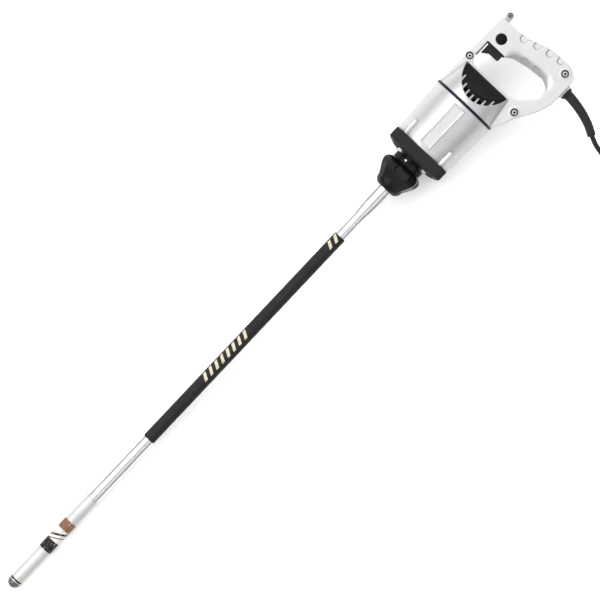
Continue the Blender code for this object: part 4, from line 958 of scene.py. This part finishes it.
def handle_half(near):
    """One clamshell half of the handle, made as the near one and mirrored for the far one."""
    body = slab("handle", [arcs(HANDLE_OUTLINE), arcs(GRIP_OPENING)], -0.0020, HANDLE_HALF)
    weights = body.data.attributes.new("bevel_weight_edge", "FLOAT", "EDGE")
    for edge in body.data.edges:
        if all(body.data.vertices[i].co.z > HANDLE_HALF - 0.0001 for i in edge.vertices):
            weights.data[edge.index].value = 1.0
    step = body.modifiers.new("round", "BEVEL")
    step.limit_method, step.width, step.segments = "WEIGHT", HANDLE_ROUND, 6
    settle(body)
    horn = slab("horn", [arcs(HORN_OUTLINE)], -0.0010, 0.0163)
    join_on(body, bulge(0.0, 1.0636, 1.1170, 0.0), horn, how="UNION")
    walls = [arcs(offset(HANDLE_OUTLINE, -HANDLE_WALL)), arcs(offset(GRIP_OPENING, HANDLE_WALL))]
    hollow = slab("hollow", walls, -0.01, 0.0150)
    join_on(body, hollow, bulge(-0.0030, 1.0600, 1.1120, -0.0040))
    bosses = []
    for x, y, boss_r, _, _ in HANDLE_SCREWS:
        bosses.append(peg("boss", (x, y, -0.0010), (x, y, HANDLE_HALF + 0.0004), boss_r))
    join_on(body, *bosses, how="UNION")

    window = on_slope(slab("window", [half_moon(VENT_LENGTH, VENT_HALF)], -0.0120, 0.0050))
    join_on(body, window)
    fins = []
    for i in range(FIN_COUNT):
        y = FIN_PITCH * (i - (FIN_COUNT - 1) / 2)
        arc = VENT_LENGTH * moon_reach(y / VENT_HALF)
        points = arcs([(arc - 0.0128, y - 0.0014, 0.0013), (arc + 0.0009, y - 0.0019, 0),
                       (arc + 0.0009, y + 0.0019, 0), (arc - 0.0128, y + 0.0014, 0.0013)])
        fins.append(on_slope(slab("fin", [points], -0.0030, 0.0)))
    join_on(body, *fins, how="UNION")

    cutters = [
        block("trigger_opening", (1.1560, 0.0066, -0.01), (1.1700, 0.0408, 0.0110)),
        peg("cord_opening", (1.1864, -0.110, 0), (1.1864, -0.090, 0), 0.0062),
        block("below_split", (1.0, -0.2, -0.1), (1.3, 0.2, GAP / 2)),
    ]
    for x, y, _, seat_r, head_r in HANDLE_SCREWS:
        cutters.append(peg("hole", (x, y, -0.0140), (x, y, 0.0140), 0.0025))
        if near:
            cutters.append(peg("seat", (x, y, SCREW_SEAT), (x, y, 0.03), seat_r))
            moat = [(0.0100, head_r, 0), (0.0100, seat_r, 0), (0.03, seat_r, 0), (0.03, head_r, 0)]
            ring = lathe("ring", moat, 64)
            ring.data.transform(Matrix.Translation((x, y, 0)) @ Matrix.Rotation(-math.pi / 2, 4, "Y"))
            cutters.append(ring)
    if near:
        cutters.append(peg("button", (*BUTTON_AT, 0.010), (*BUTTON_AT, 0.030), BUTTON_R + GAP))
    for x, y, length, width, lean in (
        (1.2080, 0.0000, 0.0120, 0.0118, -0.45),
        (1.2150, -0.0222, 0.0122, 0.0118, -0.24),
        (1.2200, -0.0440, 0.0118, 0.0118, -0.10),
        (1.2216, -0.0640, 0.0102, 0.0112, 0.02),
    ):
        cutters.append(slab("notch", [notch_outline(x, y, length, width, lean)], 0.0168, 0.03))
    rim = [(1.1120, -0.0370), (1.1165, -0.0530), (1.1290, -0.0692), (1.1440, -0.0850)]
    rim = [(x, y, 0.0191) for x, y in rim]
    cutters.append(pipe("line", curve_through(rim, 0.003), 0.00045))
    for low, high, left, right in ((-0.0282, -0.0172, 1.1700, 1.1822), (-0.0502, -0.0396, 1.1725, 1.1848)):
        recess = [(left, low, 0.001), (right, low, 0.0016)]
        recess += [(right - 0.0010, high, 0.0016), (left, high, 0.001)]
        cutters.append(slab("grip_recess", [arcs(recess)], 0.0172, 0.03))
    join_on(body, *cutters)
    remesh(body, 0.00062, 4, keep=0.42 if near else 0.36)
    round_grip(body)
    if not near:
        body.data.transform(Matrix.Diagonal((1, 1, -1, 1)))
        body.data.flip_normals()
    return body


def distance_to_line(points, line):
    """The distance of each point to a polyline, both in X and Y."""
    best = np.full(len(points), 9.0)
    for a, b in zip(line, line[1:], strict=False):
        a, way = np.array(a), np.array(b) - np.array(a)
        t = np.clip(((points - a) @ way) / (way @ way), 0, 1)
        best = np.minimum(best, np.linalg.norm(points - a - t[:, None] * way, axis=1))
    return best


def round_grip(body):
    """Leans the outer face of the grip down towards the fingers, as a hand-shaped grip does."""
    mesh = body.data
    co = np.zeros(len(mesh.vertices) * 3, np.float32)
    mesh.vertices.foreach_get("co", co)
    co = co.reshape(-1, 3)
    edge = [tuple(p) for p in arcs(GRIP_OPENING)]
    right = [p for p in edge if p[0] > 1.1600 and p[1] < 0.0050]
    away = distance_to_line(co[:, :2].astype(float), right)
    reach = 0.0130
    share = np.clip(1 - away / reach, 0, 1)
    fade = np.clip((0.0040 - co[:, 1]) / 0.0120, 0, 1) * np.clip((co[:, 1] + 0.0800) / 0.0140, 0, 1)
    co[:, 2] -= 0.0105 * share**1.5 * fade * np.clip((co[:, 2] - 0.0010) / 0.0160, 0, 1)
    mesh.vertices.foreach_set("co", co.ravel())
    mesh.update()


SCREW_HEAD = 0.0042
SOCKET_R, SOCKET_DEPTH = 0.0022, 0.0034
OPEN_SLOTS_HALF = 0.018  # beyond it the vent slots would look through to the floor, so they are closed


def handle_pieces():
    """Both halves, the four screws and the vent covers."""
    for name in ("near", "far"):
        half, node = handle_half(name == "near"), f"handle_half_{name}"
        dress(half, f"cast_handle_{name}", "cast_handle", "motor_unit", "cast_aluminium", node)
    upright = Matrix.Rotation(-math.pi / 2, 4, "Y")
    for number, (x, y, _, _, head_r) in enumerate(HANDLE_SCREWS, start=1):
        low, top = SCREW_SEAT + GAP, SCREW_SEAT + SCREW_HEAD
        profile = [(-0.0130, 0.0, 0), (-0.0130, 0.0021, 0.0003), (low, 0.0021, 0), (low, head_r, 0.0003)]
        profile += [(top - 0.0006, head_r, 0.0004), (top, head_r - 0.0010, 0.0004), (top, 0.0, 0)]
        screw = lathe("screw", profile, 64, closed=False)
        screw.data.transform(upright)
        join_on(screw, peg("socket", (0, 0, top - SOCKET_DEPTH), (0, 0, top + 0.001), SOCKET_R, segments=6))
        screw.data.transform(Matrix.Translation((x, y, 0)) @ Matrix.Rotation(0.4 + 0.7 * number, 4, "Z"))
        dress_screw(screw, f"handle_socket_screw_{number}", f"handle_screw_{number}", "socket_screw")

    for name, side in (("near", 1), ("far", -1)):
        shape = half_moon(VENT_LENGTH - 0.0006, VENT_HALF - 0.0006, start=0.0006)
        cover = on_slope(slab("cover", [shape], -0.0062, -0.0036))
        pad = slab("pad", [half_moon(0.0364, 0.0400, 0.0006)], -0.0056, -0.0010)
        pad = on_slope(bevelled(pad, 0.0009, 3))
        join_on(cover, pad, how="UNION")
        inner = on_slope(slab("inner", [half_moon(0.0332, 0.0368, -0.0060)], -0.0016, 0.0010))
        cutters = [inner]
        for i in range(FIN_COUNT - 1):
            y = FIN_PITCH * (i - (FIN_COUNT - 2) / 2)
            arc = VENT_LENGTH * moon_reach(y / VENT_HALF)
            if abs(y) < OPEN_SLOTS_HALF:
                hole = rectangle(arc - 0.0115, arc - 0.0025, y - 0.0030, y + 0.0030)
                cutters.append(on_slope(slab("slot", [hole], -0.0080, -0.0030)))
        join_on(cover, *cutters)
        remesh(cover, 0.00045, 3, keep=0.6)
        if side < 0:
            cover.data.transform(Matrix.Diagonal((1, 1, -1, 1)))
            cover.data.flip_normals()
        dress(cover, f"vent_half_moon_{name}", "vent", "motor_unit", "black_plastic", f"vent_cover_{name}")


TRIGGER_Y = 0.0235


def switch_pieces():
    """The switch with its bezel, the hooked trigger, its spring and the lock-on button."""
    body = bevelled(block("body", (1.1700, 0.0040, -0.0130), (1.1920, 0.0420, 0.0084)), 0.0006)
    sleeve = block("sleeve", (1.1588, 0.0070, -0.0106), (1.1710, 0.0404, 0.0106))
    bezel = bevelled(block("bezel", (1.1587, 0.0059, -0.0124), (1.1609, 0.0409, 0.0124)), 0.0007)
    lip = bevelled(block("lip", (1.1325, 0.0402, -0.0106), (1.1600, 0.0419, 0.0106)), 0.0004)
    join_on(body, sleeve, bezel, lip, how="UNION")
    join_on(body, block("pocket", (1.1500, 0.0079, -0.0085), (1.1700, 0.0392, 0.0085)))
    dress(smooth(body), "switch_with_bezel", "switch", "motor_unit", "black_plastic", "switch_body")

    outline = [(1.1399, 0.0383, 0.0010), (1.1478, 0.0268, 0.0070), (1.1476, 0.0087, 0.0032),
               (1.1629, 0.0087, 0.0008), (1.1629, 0.0383, 0.0008)]
    trigger = bevelled(slab("trigger", [arcs(outline)], -0.0080, 0.0080), 0.0014, 4)
    pocket = peg("pocket", (1.1520, TRIGGER_Y, 0), (1.1752, TRIGGER_Y, 0), 0.0044)
    ribs = []
    for i in range(4):
        y = 0.0118 + 0.0042 * i
        ribs.append(pipe("rib", [(1.1474, y, -0.0062), (1.1474, y, 0.0062)], 0.00055))
    join_on(trigger, pocket, *ribs)
    remesh(trigger, 0.00032, 2, keep=0.6)
    dress(trigger, "hooked_trigger", "switch", "trigger", "black_plastic", "trigger")

    helix, turns, per_turn = [], 6, 20
    start, end, radius, wire = 1.1524, 1.1694, 0.0034, 0.0005
    for i in range(turns * per_turn + 1):
        angle = 2 * math.pi * i / per_turn
        x = start + wire + (end - start - 2 * wire) * i / (turns * per_turn)
        helix.append((x, TRIGGER_Y + radius * math.cos(angle), radius * math.sin(angle)))
    spring = pipe("spring", helix, wire, resolution=3)
    spring = dress(spring, "trigger_coil_spring", "screw", "trigger", "screw_steel", "trigger_spring")
    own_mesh(spring)

    profile = [(0.0135, 0.0, 0), (0.0135, 0.0097, 0.0003), (0.0145, 0.0097, 0.0003), (0.0145, 0.0085, 0.0002)]
    profile += [(0.0208, 0.0085, 0.0010), (0.0216, 0.0072, 0.0008), (0.0218, 0.0062, 0.0004)]
    profile += [(0.0212, 0.0056, 0.0004), (0.0212, 0.0044, 0.0004)]
    profile += [(0.0218, 0.0038, 0.0004), (0.0219, 0.0, 0)]
    button = lathe("button", profile, 96, closed=False)
    button.data.transform(Matrix.Translation((*BUTTON_AT, 0)) @ Matrix.Rotation(-math.pi / 2, 4, "Y"))
    dress(button, "lock_on_button", "button", "lock_button", "black_plastic", "lock_button")


# The cord ----------------------------------------------------------------------------------------

GUARD_ROUTE = [
    (1.1864, -0.1060, 0.0),
    (1.1858, -0.1180, 0.0),
    (1.1836, -0.1330, -0.0004),
    (1.1796, -0.1500, -0.0012),
    (1.1733, -0.1670, -0.0024),
    (1.1652, -0.1820, -0.0040),
]
CORD_ROUTE = [
    (0.5537, -0.1188, 0.0590),
    (0.5477, -0.1337, 0.0563),
    (0.5449, -0.1507, 0.0495),
    (0.5445, -0.1687, 0.0385),
    (0.5475, -0.1862, 0.0255),
    (0.5540, -0.2027, 0.0135),
    (0.5625, -0.2157, 0.0066),
    (0.5689, -0.2242, 0.0046),
]
CORD_R = 0.0040
COIL_AT = Vector((0.5384, -0.2867, 0.0))
BOTTOM_Z = 0.0046
LAYER = 0.00693
TURN_START, TURN_END = 40, -90
ZONE = 90
# Radius in millimetres and layer of each turn, from the outside in and back out.
TURNS = [(60, 0), (52, 0), (44, 0), (36, 0), (40, 1), (48, 1), (56, 1)]


def coil_point(radius, degrees, z):
    angle = math.radians(degrees)
    return COIL_AT + Vector((radius * math.cos(angle), radius * math.sin(angle), z))


def coil_route():
    """The wound turns: four on the floor from the outside in, then three nested on them, outwards."""
    points = []
    step = 6
    for number, (radius, layer) in enumerate(TURNS):
        last = number == len(TURNS) - 1
        start = TURN_START - 360 * number
        swept = TURN_START - TURN_END if last else 360
        for k in range(0, swept, step):
            r, z = radius, BOTTOM_Z + LAYER * layer
            s = max(0.0, (k - (360 - ZONE)) / ZONE)
            if s > 0:
                ease = s * s * (3 - 2 * s)
                next_radius, next_layer = TURNS[number + 1]
                r = radius + (next_radius - radius) * ease
                if next_layer > layer:
                    rise = min(1.0, 2 * ease)
                    r = radius - 1.4 * math.sin(math.pi * rise) ** 2 + (4 * max(0.0, 2 * ease - 1))
                    z = BOTTOM_Z + LAYER * rise + 0.0011 * math.sin(math.pi * max(0.0, 2 * ease - 1)) ** 2
                elif layer:
                    z += 0.0011 * math.sin(2 * math.pi * ease) ** 2
            points.append(coil_point(r / 1000, start - k, z))
    points.append(coil_point(TURNS[-1][0] / 1000, TURN_END, BOTTOM_Z + LAYER))
    return points


def cord_pieces():
    """The washer, the guard, the whole cord with its coil, the tie and the plug."""
    down = Matrix.Translation((GUARD_ROUTE[0][0], 0, 0)) @ Matrix.Rotation(-math.pi / 2, 4, "Z")
    ring = [(0.1012, 0.0064, 0.0003), (0.1012, 0.0122, 0.0006)]
    ring += [(0.1037, 0.0122, 0.0006), (0.1037, 0.0064, 0.0003)]
    washer = lathe("washer", ring, 96)
    washer.data.transform(down)
    dress(washer, "cord_washer_ring", "pale", "motor_unit", "light_plastic", "cord_washer")

    line = curve_through(GUARD_ROUTE, 0.0011)
    shares = []
    for i in range(len(line)):
        share = i / (len(line) - 1)
        shape = 1.0 - 0.15 * share
        ridge = 0.030 * max(0.0, math.sin(i * 0.9)) ** 2 if 0.16 < share < 0.93 else 0.0
        shares.append(shape - ridge)
    shares[-1] *= 0.93
    guard = pipe("guard", line, 0.0080, shares)
    profile = [(0.0925, 0.0, 0), (0.0925, 0.0086, 0.0006), (0.0958, 0.0086, 0.0006), (0.0958, 0.0058, 0)]
    profile += [(0.1042, 0.0058, 0), (0.1042, 0.0106, 0.0006), (0.1072, 0.0108, 0.0012)]
    profile += [(0.1085, 0.0098, 0.0008), (0.1100, 0.0080, 0.0006), (0.1100, 0.0, 0)]
    collar = lathe("collar", profile, 96, closed=False)
    collar.data.transform(down)
    join_on(guard, collar, how="UNION", solver="EXACT")
    smooth(guard, math.radians(40))
    dress(guard, "cord_strain_guard", "guard", "motor_unit", "black_rubber", "cord_guard")

    line_y, line_z = COIL_AT.y - 0.0560, 0.0119
    plug_start = COIL_AT.x - 0.0412
    route = curve_through(CORD_ROUTE, 0.0058)
    coil = coil_route()
    middle = (route[-1] + coil[0]) / 2 + Vector((0.0006, 0.0006, 0))
    joining = curve_through([route[-2], route[-1], middle, coil[0], coil[1]], 0.006)
    first = [p for p in joining if p.y < route[-1].y - 0.002 and p.y > coil[0].y + 0.002]
    last = [(COIL_AT.x - 0.0120, line_y, BOTTOM_Z + LAYER + 0.0001)]
    last += [(COIL_AT.x - 0.0260, line_y, line_z - 0.0002), (plug_start - 0.0004, line_y, line_z)]
    points = [*route, *first, *coil, *map(Vector, last)]
    cord = pipe("mains_cord", points, CORD_R, at=FLOOR_FRAME, resolution=5, keep_curve=True)
    paint(cord, "cord")
    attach(cord, "motor_unit")
    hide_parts("power_cord", "cord_coil")

    profile = [(0.0, 0.0, 0), (0.0, 0.0046, 0.0003)]
    for i in range(7):
        at = 0.0012 + 0.0029 * i
        r = 0.0047 + 0.0033 * (i / 6) ** 1.5
        profile += [(at, r, 0.0003), (at + 0.0016, r + 0.0002, 0.0003)]
        profile += [(at + 0.0019, r - 0.0006, 0.0002), (at + 0.0027, r - 0.0005, 0.0002)]
    profile += [(0.0220, 0.0080, 0.0005), (0.0224, 0.0100, 0.0008), (0.0252, 0.0117, 0.0020)]
    profile += [(0.0330, 0.0116, 0.003), (0.0400, 0.0108, 0.006), (0.0470, 0.0116, 0.003)]
    profile += [(0.0525, 0.0117, 0.0010), (0.0550, 0.0117, 0.0008)]
    profile += [(0.0578, 0.0110, 0.0008), (0.0578, 0.0, 0)]

    def flattened(x, radius, angle):
        if x < 0.0235:
            return radius
        grip_line = 0.0004 if 0.034 < x < 0.046 and int(x / 0.0022) % 2 else 0.0
        return radius * (1 - 0.10 * ramp(abs(math.cos(angle)), 0.80, 0.98)) - grip_line

    plug = lathe("plug", profile, 96, closed=False, at=FLOOR_FRAME, fine=flattened)
    plug.data.transform(Matrix.Translation((plug_start, line_y, line_z)) @ Matrix.Rotation(math.pi, 4, "Z"))
    dress(plug, "mains_plug", "black", "motor_unit", "black_plastic", "plug_body")
    for name, side in (("left", 1), ("right", -1)):
        y = line_y + side * 0.00635
        end = plug_start - 0.0580 - GAP
        low, high = (end - 0.0169, y - 0.00074, line_z - 0.0031), (end, y + 0.00074, line_z + 0.0031)
        blade = bevelled(block("blade", low, high, FLOOR_FRAME), 0.0004)
        low, high = (end - 0.0130, y - 0.002, line_z), (end - 0.0130, y + 0.002, line_z)
        join_on(blade, peg("hole", low, high, 0.0015, segments=32, at=FLOOR_FRAME))
        blade = dress(smooth(blade), f"plug_pin_{name}", "blade", "motor_unit", "brass", f"plug_blade_{name}")

    low, high = 0.0006, 0.0168
    inner, outer = 0.0314, 0.0646
    loop = [(inner, low, 0.004), (outer, low, 0.004), (outer, high, 0.005), (inner, high, 0.005)]
    strap = slab("strap", [arcs(loop), arcs(offset(loop, -0.0009))], -0.0044, 0.0044, FLOOR_FRAME)
    plate = [(0.0410, high - 0.0013, 0.0005), (0.0550, high - 0.0013, 0.0005)]
    plate += [(0.0550, high + 0.0003, 0.0004), (0.0410, high + 0.0003, 0.0004)]
    buckle = slab("buckle", [arcs(plate)], -0.0050, 0.0050, FLOOR_FRAME)
    join_on(strap, buckle, how="UNION")
    upright = Matrix.Rotation(math.radians(20), 4, "Z") @ Matrix.Rotation(math.pi / 2, 4, "X")
    strap.data.transform(Matrix.Translation(COIL_AT) @ upright)
    bevelled(strap, 0.0002, 2)
    tie = dress(strap, "coil_tie_strap", "black", "motor_unit", "black_plastic", "coil_tie")


# What stays as CAD made it -----------------------------------------------------------------------

CARRIED_OVER = {
    "head_bearing_front": "bearing",
    "head_bearing_rear": "bearing",
    "head_oil_seal": "seal",
    "inner_pipe": "satin",
    "shaft_bush_front": "brass",
    "shaft_bush_middle": "brass",
    "shaft_bush_rear": "brass",
    "eccentric_weight": "ground",
    "drive_shaft": "shaft",
    "stator_core": "laminated",
    "field_coil_top": "copper",
    "field_coil_bottom": "copper",
    "motor_bearing_front": "bearing",
    "motor_bearing_rear": "bearing",
    "bearing_bridge": "black",
    "brush_holder_top": "brass",
    "brush_holder_bottom": "brass",
    "carbon_brush_top": "carbon",
    "carbon_brush_bottom": "carbon",
    "armature_shaft": "shaft",
    "armature_core": "laminated",
    "commutator": "commutator",
    "drive_socket": "ground",
    "cooling_fan": "black",
}


def carried_over():
    for node, look in CARRIED_OVER.items():
        paint(frame["nodes"][node], look)


# The studio --------------------------------------------------------------------------------------

VIEW_TURN = math.radians(46.65)
AIM = TOOL @ Vector((0.6552, -0.0232, 0.0))
FIELD = 0.960
CAMERA_HEIGHT = 6.0
# The light round the tool's axis: degrees from straight up towards +Y, and how bright it is there
SOFT_BOXES = [
    (-89, 0.3), (-66, 0.7), (-50, 1.2), (-24, 1.25), (-21, 0.08),
    (-9, 0.08), (-6, 1.7), (52, 2.1), (68, 0.8), (89, 0.3),
]
BRIGHTEST = 2.1
# The light is dim near the horizon: the heights of its direction where it starts and stops growing, and
# the strength that it starts from
SKY_LOW, SKY_HIGH, SKY_DIM = 0.10, 0.60, 0.10
KEY_SIZE, KEY_WATTS, KEY_TILT, KEY_DISTANCE = (3.2, 1.2), 16, math.radians(33), 2.0


def studio():
    """A white floor, two long soft boxes over the tool, and the camera straight above."""
    work = bmesh.new()
    bmesh.ops.create_grid(work, x_segments=1, y_segments=1, size=6)
    floor = made("studio_floor", mesh_of(work, "studio_floor"), FLOOR_FRAME)
    paper = Look("floor_paper", (0.93, 0.93, 0.93), 0.85, 0.0)
    paper.tint(paper.span(paper.noise(0.4, detail=2.0), 0.3, 0.7, 0.0, 0.3), (0.95, 0.95, 0.95))
    paper.bump(paper.noise(0.002, detail=3.0), 0.0001, 0.1)
    paper.shader.inputs["Emission Color"].default_value = (1, 1, 1, 1)
    paper.shader.inputs["Emission Strength"].default_value = 0.25
    paper.done()
    floor.data.materials.append(paper.material)

    world = bpy.data.worlds.new("studio")
    bpy.context.scene.world = world
    world.use_nodes = True
    tree = world.node_tree
    coords = add_node(tree, "ShaderNodeTexCoord").outputs["Generated"]
    way = add_node(tree, "ShaderNodeSeparateXYZ", Vector=coords).outputs
    lean = add_math(tree, "ARCTAN2", way["Y"], way["Z"])
    boxes = add_node(tree, "ShaderNodeValToRGB", Fac=add_span(tree, lean, -math.pi / 2, math.pi / 2))
    stops = boxes.color_ramp.elements
    while len(stops) > 1:
        stops.remove(stops[-1])
    for degrees, level in SOFT_BOXES:
        stop = stops.new((degrees + 90) / 180)
        stop.color = (*[level / BRIGHTEST] * 3, 1)
    stops.remove(stops[0])
    backdrop = tree.nodes["Background"]
    tree.links.new(boxes.outputs["Color"], backdrop.inputs["Color"])
    strength = add_span(tree, way["Z"], SKY_LOW, SKY_HIGH, SKY_DIM, BRIGHTEST)
    tree.links.new(strength, backdrop.inputs["Strength"])

    light = bpy.data.lights.new("key_box", "AREA")
    light.shape, light.energy = "RECTANGLE", KEY_WATTS
    light.size, light.size_y = KEY_SIZE
    lamp = made("key_box", light, FLOOR_FRAME)
    lamp.location = (0.0, KEY_DISTANCE * math.sin(KEY_TILT), KEY_DISTANCE * math.cos(KEY_TILT))
    lamp.rotation_euler = (-KEY_TILT, 0, 0)

    camera = bpy.data.cameras.new("camera")
    camera.sensor_fit, camera.sensor_width = "HORIZONTAL", 36
    camera.angle = 2 * math.atan(FIELD / 2 / CAMERA_HEIGHT)
    holder = made("camera", camera, FLOOR_FRAME)
    holder.location = (AIM.x, AIM.y, AIM.z + CAMERA_HEIGHT)
    holder.rotation_euler = (0, 0, -VIEW_TURN)
    camera.clip_end = 50
    bpy.context.scene.camera = holder
    bpy.context.scene.view_settings.view_transform = "Standard"


studio()
cord_pieces()
lance_pieces()
knob_piece()
neck_pieces()
housing_piece()
handle_pieces()
switch_pieces()
carried_over()
